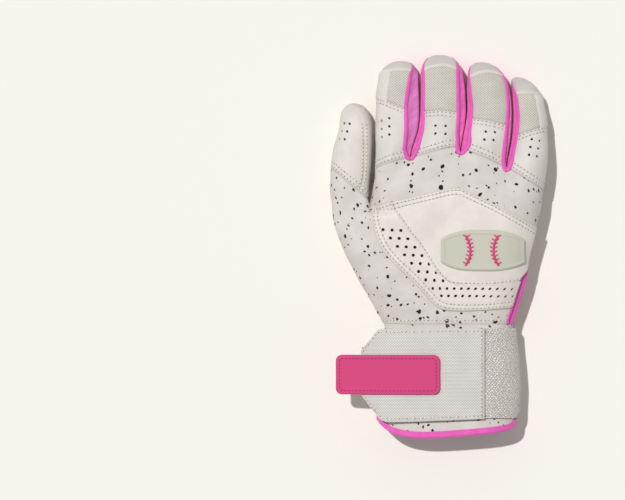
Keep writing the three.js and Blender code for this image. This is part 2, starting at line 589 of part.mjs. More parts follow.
// Pink sidewall: runs up one side, over the tip and down the other, or dies out on a side that has none
function gusset(finger) {
  const { spec, start, cap, root } = finger;
  const straight = 5;
  const turn = 9;
  const stations = [];
  const climb = (which) => {
    for (let i = 0; i < straight; i++) {
      const number = NAMES.indexOf(finger.name);
      const fork = which ? FORKS[Math.min(number, 2)] : FORKS[number - 1];
      const edge = (which ? finger.right : finger.left)(root);
      const y = mix(Math.max(fork, root, knuckleSeam(edge)) + 1, start, i / straight);
      stations.push({ y, along: which ? 1 : -1, ahead: 0, which });
    }
  };
  if (spec.wall[0]) climb(0);
  for (let i = 0; i <= turn; i++) {
    const from = spec.wall[0] ? Math.PI : 0.8 * Math.PI;
    const angle = mix(from, spec.wall[1] ? 0 : 0.2 * Math.PI, i / turn);
    const bend = (t) => Math.sign(t) * Math.pow(Math.abs(t), 2 / ROUND);
    const which = angle < Math.PI / 2 ? 1 : 0;
    stations.push({ y: start, along: bend(Math.cos(angle)), ahead: bend(Math.sin(angle)), which });
  }
  if (spec.wall[1]) {
    const kept = stations.length;
    climb(1);
    stations.push(...stations.splice(kept).reverse());
  }
  return sheet((u, v, k) => {
    const at = stations[Math.round(u * (stations.length - 1))];
    const offset = k ? 0 : -SPANDEX;
    const yTurn = at.y + cap * at.ahead;
    const upper = Math.acos(Math.pow(clamp(sidewallShare(finger, at.which, yTurn), 0, 0.9995), ROUND / 2));
    const lower = Math.acos(Math.pow(clamp(palmShare(finger, at.which, yTurn), 0, 0.9995), ROUND / 2));
    const angle = mix(-lower + 2 * WALL_TRIM, upper - WALL_TRIM, v);
    const out = Math.pow(Math.cos(angle), 2 / ROUND);
    const high = Math.sign(angle) * Math.pow(Math.abs(Math.sin(angle)), 2 / ROUND);
    const y = at.y + (cap + offset) * at.ahead * out;
    const place = finger.place(y);
    const x = place.x + (place.a + offset) * at.along * out;
    const full = (high > 0 ? finger.up(x, y) : finger.down(x, y)) + offset;
    return new THREE.Vector3(x, y, Math.max(finger.mid(x, y) + full * high, -offset));
  }, stations.length - 1, 3);
}

// Origin at the middle of the footprint, on the surface that it lies on
const box = new THREE.Box3().setFromObject(glove);
const centre = box.getCenter(new THREE.Vector3());
for (const mesh of glove.children) mesh.position.set(-centre.x, -centre.y, -box.min.z);

export default glove;
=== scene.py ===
"""Looks of a right-hand batting glove that lies palm down, its back to the camera.

Every piece is cut as a pattern piece and laid on the same rounded hand form as the solids. Lengths are
in millimetres from the lowest point of the hem: +X to the little finger, +Y to the fingertips, +Z out of
the back.
"""
import logging
import math
from collections.abc import Callable, Sequence
from dataclasses import dataclass, field
from enum import Enum
from functools import cached_property, partial

import bpy
import numpy as np
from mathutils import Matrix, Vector
from mathutils.geometry import delaunay_2d_cdt


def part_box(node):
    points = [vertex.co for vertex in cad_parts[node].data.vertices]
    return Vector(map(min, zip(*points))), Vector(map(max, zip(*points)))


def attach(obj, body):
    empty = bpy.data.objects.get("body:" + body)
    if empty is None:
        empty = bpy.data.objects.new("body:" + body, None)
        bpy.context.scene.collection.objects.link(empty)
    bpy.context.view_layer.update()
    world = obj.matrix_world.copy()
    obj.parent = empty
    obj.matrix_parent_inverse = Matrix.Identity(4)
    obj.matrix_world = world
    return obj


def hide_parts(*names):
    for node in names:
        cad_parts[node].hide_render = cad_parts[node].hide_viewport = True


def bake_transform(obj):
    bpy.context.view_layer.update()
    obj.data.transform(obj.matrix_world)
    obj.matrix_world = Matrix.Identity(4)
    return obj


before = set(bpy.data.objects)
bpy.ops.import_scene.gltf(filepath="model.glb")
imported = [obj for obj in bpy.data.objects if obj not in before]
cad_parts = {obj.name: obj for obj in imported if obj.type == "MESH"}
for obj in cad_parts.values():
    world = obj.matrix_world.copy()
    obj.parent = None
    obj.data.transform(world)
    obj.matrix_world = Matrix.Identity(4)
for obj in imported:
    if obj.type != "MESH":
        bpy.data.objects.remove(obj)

Array = np.ndarray
Value = float | Array
Line = Callable[[Array], Array]
Share = Callable[[int, Array], Array]
Grid = tuple[Array, Array]
Heights = tuple[Array, Array, Array]
Levels = Callable[[Array, Array], Heights]
Colour = tuple[int, int, int]
Point = tuple[float, float]
Place = tuple[float, float, float]
Obj = bpy.types.Object
Socket = bpy.types.NodeSocket
Input = Socket | float | Sequence[float]
Dressing = tuple[Socket, Socket]
Tint = tuple[float, float, float, float]
log = logging.getLogger("glove")

MM = 0.001
ROUND = 2.3
CUFF_TOP = 69.5
BAND_TOP = 67.0
INSERT_CLOSE, INSERT_TOP = 96.0, 103.5
BACK_INSERT, PALM_INSERT = 4.0, 2.5
THUMB_FORK = 142.0
THUMB_FOLD = 146.0
THUMB_VALLEY = 30.0
THUMB_CREASE = 9.0
NEARLY_ALL = 0.99995
FINGER_TAPER = 0.7
FINGER_SINK = 1.5
HEM_SIDE = 11.0
PALM_HEM_DROP = 6.4
DRAPE = 0.6
BAND_THICK = 1.8
STRAP_THICK = 1.8
TAB_THICK = 1.8
LEATHER = 1.0
KNIT = 1.2
CORD_SIDES = 8
CORD_FLAT = 0.6
CORD_STEP = 0.6
SOFT_ANGLE = math.radians(45)
TAB_FROM, TAB_TO, TAB_LOW, TAB_HIGH = -63.2, -0.6, 26.6, 50.8
STRAP_ROOT, STRAP_END = 27.0, -48.5


class Side(Enum):
    """Which face of the glove a piece lies on."""

    BACK = 1
    PALM = -1


# Lines and easing


def mix(a: Value, b: Value, t: Value) -> Value:
    """Value between a and b at the share t."""
    return a + (b - a) * t


def smooth(a: Value, b: Value, s: Value) -> Array:
    """Smooth step from 0 at a to 1 at b."""
    t = np.clip((np.asarray(s, float) - a) / (np.asarray(b, float) - a), 0, 1)
    return t * t * (3 - 2 * t)


def rise(t: Value) -> Array:
    """Quarter of a superellipse: 0 at the edge, 1 at the full height."""
    return np.maximum(0, 1 - (1 - np.clip(t, 0, 1)) ** ROUND) ** (1 / ROUND)


def ridge(d: Array, at: Value, wide: float) -> Array:
    """Bell of height 1 along the distance at, with that half width."""
    return np.exp(-(((d - at) / wide) ** 2))


def even(t: Array) -> Array:
    """Even spacing."""
    return t


def rounded(t: Array) -> Array:
    """Spacing that closes up at both ends."""
    return (1 - np.cos(np.pi * t)) / 2


def rounded_start(t: Array) -> Array:
    """Spacing that closes up at the start."""
    return 1 - np.cos(np.pi * t / 2)


def rounded_end(t: Array) -> Array:
    """Spacing that closes up at the end."""
    return np.sin(np.pi * t / 2)


class Knots:
    """Smooth curve through (place, value) knots, level beyond both ends."""

    def __init__(self, *knots: Point) -> None:
        """Keeps the knots and their slopes.

        Args:
            knots: Places and values.
        """
        self.at, self.value = np.array(knots, float).T
        s, v = (np.pad(column, 1, "edge") for column in (self.at, self.value))
        self.slope = (v[2:] - v[:-2]) / (s[2:] - s[:-2])

    def __call__(self, s: Value) -> Array:
        """Value of the curve at s.

        Args:
            s: Places.

        Returns:
            Values there.
        """
        s = np.clip(np.asarray(s, float), self.at[0], self.at[-1])
        i = np.clip(np.searchsorted(self.at, s, side="right") - 1, 0, len(self.at) - 2)
        h = self.at[i + 1] - self.at[i]
        t = (s - self.at[i]) / h
        base = mix(self.value[i], self.value[i + 1], t * t * (3 - 2 * t))
        return base + h * t * (1 - t) * (self.slope[i] * (1 - t) - self.slope[i + 1] * t)


def flat(value: float) -> Line:
    """Line with the same value all along."""
    return lambda s: np.full(np.shape(s), value, float)


def shift(line: Line, by: float) -> Line:
    """Line moved by a length."""
    return lambda s: line(s) + by


def spline(points: Sequence[Point], t: Array) -> Array:
    """Point on a smooth plan curve through the points.

    Args:
        points: Places that the curve goes through.
        t: Shares of the way along, 0 to 1.

    Returns:
        One (x, y) row for each share.
    """
    p = np.array(points, float)
    n = len(p)
    place = (n - 1) * np.clip(t, 0, 1)
    i = np.clip(np.floor(place).astype(int), 0, n - 2)
    w = (place - i)[:, None]
    a, b, c, d = p[np.maximum(i - 1, 0)], p[i], p[i + 1], p[np.minimum(i + 2, n - 1)]
    v0, v1 = (c - a) / 2, (d - b) / 2
    return (2 * b - 2 * c + v0 + v1) * w**3 + (3 * c - 3 * b - 2 * v0 - v1) * w**2 + v0 * w + b


# Outlines seen from above: x at each y
thumb_side = Knots((5, -37.8), (15, -38), (66, -34), (72, -35.5), (80, -40.2), (101, -52.5), (127, -64),
                   (145, -66.9), (158, -67.3), (172, -66.3), (184, -63.6), (190, -61.8))
little_side = Knots((5, 46.4), (20, 46.8), (35, 47.4), (66, 44.6), (72, 45), (81, 48), (97, 52.6),
                    (107, 53.8), (121, 57), (136, 61), (150, 63.2), (165, 65.4), (180, 66.1), (195, 65.4),
                    (204, 63.8))
index_side = Knots((70, -12), (82, -15), (99, -27), (119, -39), (131, -42.2), (142, -43), (150, -41.6),
                   (165, -39.8), (190, -39.4), (203, -39.2), (212, -38.5), (220, -37.2))
thumb_inner = Knots((120, -41), (142, -44.2), (152, -43.5), (164, -42.2), (176, -41.2), (190, -41))
GAPS = (
    Knots((140, -20.5), (171, -18.4), (176, -17.5), (182, -15.6), (188, -13.7), (199, -12.4), (222, -12.4)),
    Knots((140, 10), (175, 12.3), (185, 14), (197, 16), (210, 16.2), (222, 15)),
    Knots((134, 37.5), (164, 40.2), (170, 41), (185, 43.6), (200, 44.6), (211, 43.6), (216, 42)),
)
# Height of each fork, and the lowest points of the pink beside it on the back and on the palm
FORKS = (172.6, 178.2, 166.2)
FORK_LOWS = (170.4, 173.4, 163.2)
PALM_LOWS = (172.1, 173.8, 165.4)
# Run and roundness of the pink ends
FORK_RUN = 6.0
FORK_BOW = 0.45
PALM_RUN = 9.0
# Width of the sidewalls seen from above, at the thumb side and the little-finger side of each finger
WALLS = (
    (None, Knots((171, 4.4), (179, 5.4), (187, 6.6), (202, 7.6), (220, 5.4))),
    (Knots((171, 2.4), (179, 2.6), (187, 2.4), (202, 1.6)),
     Knots((174, 2.2), (180, 2.4), (187, 3.7), (202, 4.6), (222, 3.6))),
    (Knots((174, 3.4), (180, 3.9), (187, 3.0), (202, 2.4), (212, 1.8)),
     Knots((164, 1.6), (179, 2.7), (195, 2.7), (211, 1.8))),
    (Knots((164, 1.8), (179, 2.0), (195, 2.5), (205, 2.4)), None),
)
# Open width between neighbouring fingers
GAP_WIDTHS = (
    Knots((172, 0.3), (192, 0.4), (206, 1.0), (216, 1.5)),
    Knots((176, 0.3), (190, 0.4), (200, 1.0), (210, 1.3)),
    Knots((164, 0.4), (176, 0.9), (184, 1.2), (206, 1.2)),
)
# Height of the middle of the section, what rises above it and what drops below it
hand_mid = Knots((0, 18), (66, 18), (100, 20), (130, 21.5), (150, 22.3), (168, 22.5))
hand_up = Knots((0, 16.5), (66, 16.5), (100, 17), (130, 17), (150, 16), (168, 13.8))
hand_down = Knots((0, 16.4), (60, 16.4), (72, 15.3), (100, 15.8), (130, 15.2), (150, 14), (168, 12.6))
thumb_mid = Knots((110, 17), (142, 14.6), (170, 11), (190, 8), (205, 6))
thumb_up = Knots((110, 14), (142, 12), (170, 11), (190, 9.2))
thumb_down = Knots((110, 13), (142, 10.8), (170, 9.8), (190, 8.4))
# Width of the section's rounded sides
edge_left = Knots((60, 26), (100, 27), (142, 12), (168, 12.5))
edge_index = Knots((100, 27), (142, 22), (168, 11))
edge_right = Knots((60, 26), (100, 27), (135, 22), (164, 12))
# Seams seen from above
knuckle_seam = Knots((-42, 164.3), (-27.6, 169.3), (-12, 173), (9.8, 178), (18.4, 174.9), (30.7, 169.9),
                     (43, 163.9), (55, 156.6), (66, 149.4))
finger_fold = Knots((-40, 166.5), (-28, 168.2), (-3, 169.6), (26, 167.2), (42, 163.6), (60, 158))
thumb_seam = Knots((-67, 165), (-56, 156), (-42, 144.6))
panel_top = Knots((-44, 141), (-24.5, 145.4), (-6, 149.7), (9.8, 152.8), (18.4, 149.7), (43, 137.4),
                  (61, 127))
back_hem = Knots((-38, 11), (-36.6, 8.8), (-33.7, 6), (-29.5, 3.4), (-21.5, 1.3), (-9.2, 0.5), (18.4, 2.2),
                 (36.8, 4.1), (42.5, 5.4), (45.5, 7.8), (46.6, 11))
HEM_LEFT, HEM_RIGHT = thumb_side(HEM_SIDE), little_side(HEM_SIDE)
fork_line = Knots((-40, 168), (-18.4, FORKS[0]), (12.3, FORKS[1]), (40.2, FORKS[2]), (62, 156))


def hem(x: Array, side: Value) -> Array:
    """Hem of the cuff: lowest in the middle of the back, higher at the sides."""
    t = np.clip((2 * x - HEM_LEFT - HEM_RIGHT) / (HEM_RIGHT - HEM_LEFT), -1, 1)
    return np.where(np.asarray(side) > 0, back_hem(x), HEM_SIDE - PALM_HEM_DROP * np.sqrt(1 - t * t))


# The hand form


def section(y: Array, w: Array) -> Heights:
    """Middle height, rise and drop at y, from the hand's own to the thumb's at the share w."""
    pairs = ((hand_mid, thumb_mid), (hand_up, thumb_up), (hand_down, thumb_down))
    return tuple(mix(hand(y), thumb(y), w) for hand, thumb in pairs)


@dataclass(frozen=True)
class Hand:
    """One height field from hem to finger roots, with valleys that run down from the forks.

    Pairs of sizes are for the back and for the palm.
    """

    thumb_blend: float = 9.0
    thumb_run: float = 15.0
    crease_reach: float = 11.5
    valley_reach: float = 13.0
    valley_run: Point = (12.0, 8.0)
    valley_sink: Point = (0.3, 0.6)

    def thumbness(self, x: Array, y: Array) -> Array:
        """Share of the thumb's own height at a place on the hand."""
        grow = smooth(THUMB_FORK - THUMB_VALLEY, THUMB_FORK, y) * (1 - self.past_fork(y))
        return grow * (1 - smooth(-self.thumb_blend, self.thumb_blend, x - index_side(y)))

    def past_fork(self, y: Array) -> Array:
        """0 below the thumb's fork, 1 well above it."""
        return smooth(THUMB_FORK, THUMB_FORK + self.thumb_run, y)

    @staticmethod
    def valley(d: Array, reach: Array, w: Array) -> Array:
        """How far a valley of depth w lets the surface up at distance d from its line."""
        return 1 - w * (1 - mix(smooth(0, reach, d), rise(d / reach), w))

    def share(self, x: Array, y: Array, side: Array) -> Array:
        """Share of the full height that the surface reaches.

        Args:
            x: Places across.
            y: Places along.
            side: Face: 1 back, -1 palm.

        Returns:
            The shares.
        """
        low = np.minimum(y, THUMB_FORK - 1e-3)
        to_line = x - index_side(y)
        fork = smooth(THUMB_FORK - THUMB_CREASE, THUMB_FORK, low) ** 2
        below = rise((x - thumb_side(low)) / edge_left(low)) * self.valley(
            np.abs(to_line), np.where(to_line < 0, self.crease_reach, edge_index(low)), fork)
        above = rise(to_line / edge_index(y))
        s = rise((little_side(y) - x) / edge_right(y)) * np.where(y < THUMB_FORK, below, above)
        run = np.where(np.asarray(side) > 0, *self.valley_run)
        sink = np.where(np.asarray(side) > 0, *self.valley_sink)
        sink = sink * smooth(fork_line(x) - run, fork_line(x), y)
        for gap, width in zip(GAPS, GAP_WIDTHS):
            far = np.maximum(0, np.abs(x - gap(y)) - width(y) / 2)
            s = s * self.valley(far, self.valley_reach, sink)
        return s

    def height(self, x: Array, y: Array, side: Array) -> Array:
        """Height of the surface on one face of the glove.

        Args:
            x: Places across.
            y: Places along.
            side: Face: 1 back, -1 palm.

        Returns:
            The heights.
        """
        mid, up, down = section(y, self.thumbness(x, y))
        z = mid + side * np.where(np.asarray(side) > 0, up, down) * self.share(x, y, side)
        return np.maximum(z, np.where(y < CUFF_TOP, DRAPE + BAND_THICK, 0))


HAND = Hand()


@dataclass
class Digit:
    """A finger or thumb: superellipse sections that end in a round cap."""

    name: str
    left: Line
    right: Line
    root: float
    tip: float
    cap: float
    lean: float
    levels: Levels
    walls: tuple[Line | None, Line | None] = (None, None)
    mesh_high: float = 0.0
    root_run: float = 9.0

    @property
    def start(self) -> float:
        """Where the round cap starts."""
        return self.tip - self.cap

    @property
    def middle(self) -> float:
        """x of its middle where the cap starts."""
        return float(self.place(np.array(self.start))[0])

    @property
    def half(self) -> float:
        """Half width where the cap starts."""
        return float(self.place(np.array(self.start))[1])

    @property
    def ease(self) -> Line:
        """Spacing across its panels, closer toward an outer side."""
        return rounded_start if not self.walls[0] else rounded_end if not self.walls[1] else even

    def place(self, y: Array) -> tuple[Array, Array, Array]:
        """Middle, half width and share of the way over the cap at y.

        Args:
            y: Places along.

        Returns:
            The three values.
        """
        t = np.clip((y - self.start) / self.cap, 0, 1)
        s = np.minimum(y, self.start)
        left, right = self.left(s), self.right(s)
        return (left + right) / 2 + self.lean * t * t, (right - left) / 2, t

    def narrow(self, y: Array, share: Value = 1.0) -> Array:
        """Share of the half width left where the cap closes in."""
        t = np.clip((y - self.start) / self.cap, 0, 1)
        return np.maximum(0, share**ROUND - t**ROUND) ** (1 / ROUND)

    def edge(self, which: int, share: Share = lambda which, y: 1.0) -> Line:
        """Side line of a panel in plan; a share of 1 is the outline itself.

        Args:
            which: Side: 0 thumb, 1 little finger.
            share: Share of the half width at each y.

        Returns:
            x of the line at each y.
        """
        sign = 1 if which else -1

        def line(y: Array) -> Array:
            """The line at y."""
            x, a, _ = self.place(y)
            return x + sign * a * self.narrow(y, share(which, y))

        return line

    def height(self, x: Array, y: Array, side: Array) -> Array:
        """Height of the surface on one face; below the root it is the hand's own.

        Args:
            x: Places across.
            y: Places along.
            side: Face: 1 back, -1 palm.

        Returns:
            The heights.
        """
        px, a, t = self.place(y)
        own = np.maximum(0, 1 - (np.abs(x - px) / a) ** ROUND - t**ROUND) ** (1 / ROUND)
        lower = np.minimum(y, THUMB_FORK - 1e-3) if self.name == "thumb" else y
        share = mix(HAND.share(x, lower, side), own, smooth(self.root, self.root + self.root_run, y))
        mid, up, down = self.levels(x, y)
        z = mid + side * np.where(np.asarray(side) > 0, up, down) * share
        return np.where(y < self.root, HAND.height(x, y, side), np.maximum(z, 0))


def thumb_levels(x: Array, y: Array) -> Heights:
    """Middle height, rise and drop of the thumb's section."""
    beside = 1 - smooth(-HAND.thumb_blend, HAND.thumb_blend, x - index_side(THUMB_FORK))
    return section(y, mix(beside, 1, HAND.past_fork(y)))


def finger_levels(root: float, tip: float, start: float, tip_high: float, x: Array, y: Array) -> Heights:
    """Middle height, rise and drop of a finger's section, which tapers and sinks toward its tip.

    Args:
        root: y of the finger's root.
        tip: y of its tip.
        start: y where its round cap starts.
        tip_high: Height of its tip.
        x: Places across, which change nothing here.
        y: Places along.

    Returns:
        The three heights.
    """
    along = np.clip((y - root) / (tip - root), 0, 1)
    taper = mix(1, FINGER_TAPER, smooth(root, start, y))
    return mix(hand_mid(root), tip_high, along**FINGER_SINK), hand_up(root) * taper, hand_down(root) * taper


THUMB = Digit("thumb", thumb_side, thumb_inner, THUMB_FORK, 205.0, 15.0, -0.6, thumb_levels)


def make_finger(i: int, name: str, tip: float, cap: float, tip_high: float, lean: float,
                mesh_high: float) -> Digit:
    """Finger number i, index to little, between its two gaps.

    Args:
        i: The finger's number.
        name: Its name.
        tip: y of its tip.
        cap: Length of its round cap.
        tip_high: Height of its tip.
        lean: How far the cap leans across.
        mesh_high: Top of its mesh.

    Returns:
        The finger.
    """
    left = index_side if i == 0 else lambda y: GAPS[i - 1](y) + GAP_WIDTHS[i - 1](y) / 2
    right = little_side if i == 3 else lambda y: GAPS[i](y) - GAP_WIDTHS[i](y) / 2
    root = max(FORKS[max(i - 1, 0)], FORKS[min(i, 2)])
    levels = partial(finger_levels, root, tip, tip - cap, tip_high)
    return Digit(name, left, right, root, tip, cap, lean, levels, WALLS[i], mesh_high)


FINGERS = (
    make_finger(0, "index", 231.3, 11.5, 5.0, 2.0, 225.6),
    make_finger(1, "middle", 235.0, 13.0, 4.8, -1.2, 228.0),
    make_finger(2, "ring", 230.7, 19.5, 3.3, -4.4, 224.4),
    make_finger(3, "little", 221.5, 17.5, 3.6, -6.5, 211.0),
)


# Surfaces


def cut_field(left: Line, right: Line, low: Line, high: Line, columns: int, rows: int,
              ease: Line = even, ease_up: Line = even) -> Grid:
    """Plan grid between side lines and end lines.

    Args:
        left: x of the left edge at each y.
        right: x of the right edge at each y.
        low: y of the lower edge at each x.
        high: y of the upper edge at each x.
        columns: Cells across.
        rows: Cells along.
        ease: Spacing across.
        ease_up: Spacing along.

    Returns:
        The x and the y of every grid point, as (rows + 1, columns + 1) arrays.
    """
    u, v = np.meshgrid(ease(np.linspace(0, 1, columns + 1)), ease_up(np.linspace(0, 1, rows + 1)))
    start = low(np.zeros(1))
    x = np.full(u.shape, float((left(start) + right(start))[0]) / 2)
    y = mix(low(x), high(x), v)
    for _ in range(9):
        x = mix(left(y), right(y), u)
        y = mix(low(x), high(x), v)
    return x, y


@dataclass
class Surface:
    """A grid of points on the form, with normals that point out and run lengths along the cloth."""

    points: Array
    outward: Array
    closed: bool = False
    normals: Array = field(init=False)
    cloth: Array = field(init=False)

    def __post_init__(self) -> None:
        """Works out the normals and the run lengths."""
        p = self.points
        if self.closed:
            ring = np.concatenate([p[:, -2:-1], p, p[:, 1:2]], axis=1)
            across = (ring[:, 2:] - ring[:, :-2]) / 2
        else:
            across = np.gradient(p, axis=1)
        along = np.gradient(p, axis=0)
        n = np.cross(across, along)
        n /= np.maximum(np.linalg.norm(n, axis=2, keepdims=True), 1e-12)
        self.normals = n * np.sign(np.sum(n * self.outward))
        s = np.cumsum(np.linalg.norm(np.diff(p, axis=1, prepend=p[:, :1]), axis=2), axis=1)
        t = np.cumsum(np.linalg.norm(np.diff(p, axis=0, prepend=p[:1]), axis=2), axis=0)
        middle = p.shape[1] // 2
        s = s - s[:, middle:middle + 1] + p[:, middle:middle + 1, 0]
        self.cloth = np.stack([s, t + p[0:1, :, 1]], axis=2)

    @classmethod
    def on(cls, zone: Hand | Digit, side: Side, plan: Grid) -> "Surface":
        """Lays a plan grid on one face of a zone of the form."""
        points = np.stack([*plan, zone.height(*plan, side.value)], axis=2)
        return cls(points, np.array([0, 0, side.value], float))

    @property
    def plan(self) -> Grid:
        """x and y of every grid point."""
        return self.points[..., 0], self.points[..., 1]

    @property
    def shape(self) -> tuple[int, int]:
        """Grid points along and across."""
        return self.points.shape[:2]

    def from_edges(self) -> dict[str, Array]:
        """Run length from each edge to every grid point."""
        s, t = self.cloth[..., 0], self.cloth[..., 1]
        return {"left": s - s[:, :1], "right": s[:, -1:] - s, "low": t - t[:1], "high": t[-1:] - t}

    def find(self, x: float, y: float) -> Point:
        """Grid place (across, along) of a plan point.

        Args:
            x: Place across.
            y: Place along.

        Returns:
            The grid place.
        """
        p = self.points[..., :2]
        away = np.hypot(p[..., 0] - x, p[..., 1] - y)
        j, i = np.unravel_index(np.argmin(away), away.shape)
        j, i = np.clip(j, 1, p.shape[0] - 2), np.clip(i, 1, p.shape[1] - 2)
        a, b = (p[j, i + 1] - p[j, i - 1]) / 2, (p[j + 1, i] - p[j - 1, i]) / 2
        step = np.linalg.solve(np.array([a, b]).T, np.array([x, y]) - p[j, i])
        return float(i + np.clip(step[0], -2, 2)), float(j + np.clip(step[1], -2, 2))


def sample(grid: Array, i: Array, j: Array) -> Array:
    """Values of a grid at fractional places across (i) and along (j).

    Args:
        grid: Values on a grid.
        i: Places across.
        j: Places along.

    Returns:
        The values.
    """
    rows, columns = grid.shape[:2]
    i = np.clip(np.asarray(i, float), 0, columns - 1)
    j = np.clip(np.asarray(j, float), 0, rows - 1)
    a, b = np.minimum(i.astype(int), columns - 2), np.minimum(j.astype(int), rows - 2)
    u, v = i - a, j - b
    if grid.ndim == 3:
        u, v = u[:, None], v[:, None]
    return mix(mix(grid[b, a], grid[b, a + 1], u), mix(grid[b + 1, a], grid[b + 1, a + 1], u), v)


# Finishes


class Pattern(Enum):
    """Surface pattern of a finish."""

    GRAIN = "grain"
    SPECKLED = "speckled"
    LATTICE = "lattice"
    TWILL = "twill"
    COARSE = "coarse"
    STRETCH = "stretch"
    MOULDED = "moulded"
    PILE = "pile"
    PLAIN = "plain"


def linear(colour: Colour) -> Tint:
    """Display colour, 0 to 255, as a linear colour with full alpha."""
    c = np.array(colour) / 255
    return (*np.where(c <= 0.04045, c / 12.92, ((c + 0.055) / 1.055) ** 2.4).tolist(), 1.0)


def toned(colour: Colour, share: float) -> Tint:
    """Linear colour, made darker or lighter by a share."""
    return linear(tuple(min(255, int(c * share)) for c in colour))


class Graph:
    """A material under construction, with short calls for its nodes."""

    def __init__(self, name: str) -> None:
        """Starts an empty material with its shader.

        Args:
            name: The material's name.
        """
        self.material = bpy.data.materials.new(name)
        self.material.use_nodes = True
        self.tree = self.material.node_tree
        self.shader = self.tree.nodes["Principled BSDF"]

    def feed(self, socket: Socket, value: Input) -> None:
        """Links a value to a socket, or sets it there.

        Args:
            socket: Socket to feed.
            value: A socket or a value.
        """
        if isinstance(value, Socket):
            self.tree.links.new(value, socket)
        else:
            socket.default_value = value

    def add(self, kind: str, inputs: dict[str | int, Input], out: str | int, **settings: object) -> Socket:
        """Adds a node.

        Args:
            kind: The node's type, without its ShaderNode prefix.
            inputs: Sockets or values by input name or number.
            out: Name or number of the output wanted.
            settings: Properties of the node.

        Returns:
            The output socket.
        """
        node = self.tree.nodes.new("ShaderNode" + kind)
        for key, value in settings.items():
            setattr(node, key, value)
        for key, value in inputs.items():
            self.feed(node.inputs[key], value)
        return node.outputs[out]

    def math(self, how: str, a: Input, b: Input = 0.0, c: Input = 0.0) -> Socket:
        """Math node."""
        return self.add("Math", {0: a, 1: b, 2: c}, 0, operation=how)

    def move(self, how: str, a: Input, b: Input, c: Input = (0.0, 0.0, 0.0)) -> Socket:
        """Vector math node."""
        return self.add("VectorMath", {0: a, 1: b, 2: c}, 0, operation=how)

    def blend(self, share: Input, a: Input, b: Input) -> Socket:
        """Colour between a and b."""
        return self.add("Mix", {0: share, 6: a, 7: b}, 2, data_type="RGBA")

    def spread(self, value: Socket, low: float, high: float, start: float, end: float,
               how: str = "LINEAR") -> Socket:
        """Value from low to high, spread over start to end."""
        return self.add("MapRange", {0: value, 1: low, 2: high, 3: start, 4: end}, 0, interpolation_type=how)

    def ramp(self, value: Socket, low: float, high: float) -> Socket:
        """Smooth step of a value from 0 at low to 1 at high."""
        return self.spread(value, low, high, 0.0, 1.0, "SMOOTHSTEP")

    @cached_property
    def cloth(self) -> Socket:
        """Run lengths along the cloth in millimetres."""
        return self.add("TexCoord", {}, "UV")

    def split(self, vector: Socket) -> tuple[Socket, Socket]:
        """The first two numbers of a vector."""
        first = self.add("SeparateXYZ", {0: vector}, 0)
        return first, first.node.outputs[1]

    def noise(self, scale: float, detail: float = 3.0, rough: float = 0.55, cloth: Socket | None = None,
              out: int = 0) -> Socket:
        """Noise texture."""
        inputs = {"Vector": cloth or self.cloth, "Scale": scale, "Detail": detail, "Roughness": rough}
        return self.add("TexNoise", inputs, out)

    def cells(self, scale: float, out: str = "Distance", cloth: Socket | None = None,
              **settings: object) -> Socket:
        """Voronoi texture."""
        return self.add("TexVoronoi", {"Vector": cloth or self.cloth, "Scale": scale}, out, **settings)

    def wave(self, value: Socket, pitch: float) -> Socket:
        """Sine wave of a value with that pitch."""
        return self.math("SINE", self.math("MULTIPLY", value, 2 * math.pi / pitch))

    def knit(self, row: float, loop: float) -> Socket:
        """Rows of knitted loops, as a height from -1 to 1."""
        u, v = self.split(self.cloth)
        return self.math("MULTIPLY", self.wave(u, row), self.wave(v, loop))

    def wobble(self, cloth: Socket, scale: float, detail: float, by: float) -> Socket:
        """Cloth coordinates pushed about by noise."""
        push = self.noise(scale, detail, cloth=cloth, out=1)
        return self.move("MULTIPLY_ADD", push, (by, by, 0.0), cloth)

    def seam(self) -> Socket:
        """Strength of the painted light beside sewn edges, 1 at the edge: painted shade on most finishes,
        painted sheen on the pink sidewalls and a painted highlight on the tip leather.
        """
        return self.add("Attribute", {}, "Fac", attribute_name="seam")

    def use(self, socket: str, value: Input) -> None:
        """Feeds the shader."""
        self.feed(self.shader.inputs[socket], value)

    def bump(self, height: Socket, depth_mm: float) -> None:
        """Raises the surface by a height pattern of that depth."""
        inputs = {"Strength": 1.0, "Distance": depth_mm * MM, "Height": height}
        self.use("Normal", self.add("Bump", inputs, 0))


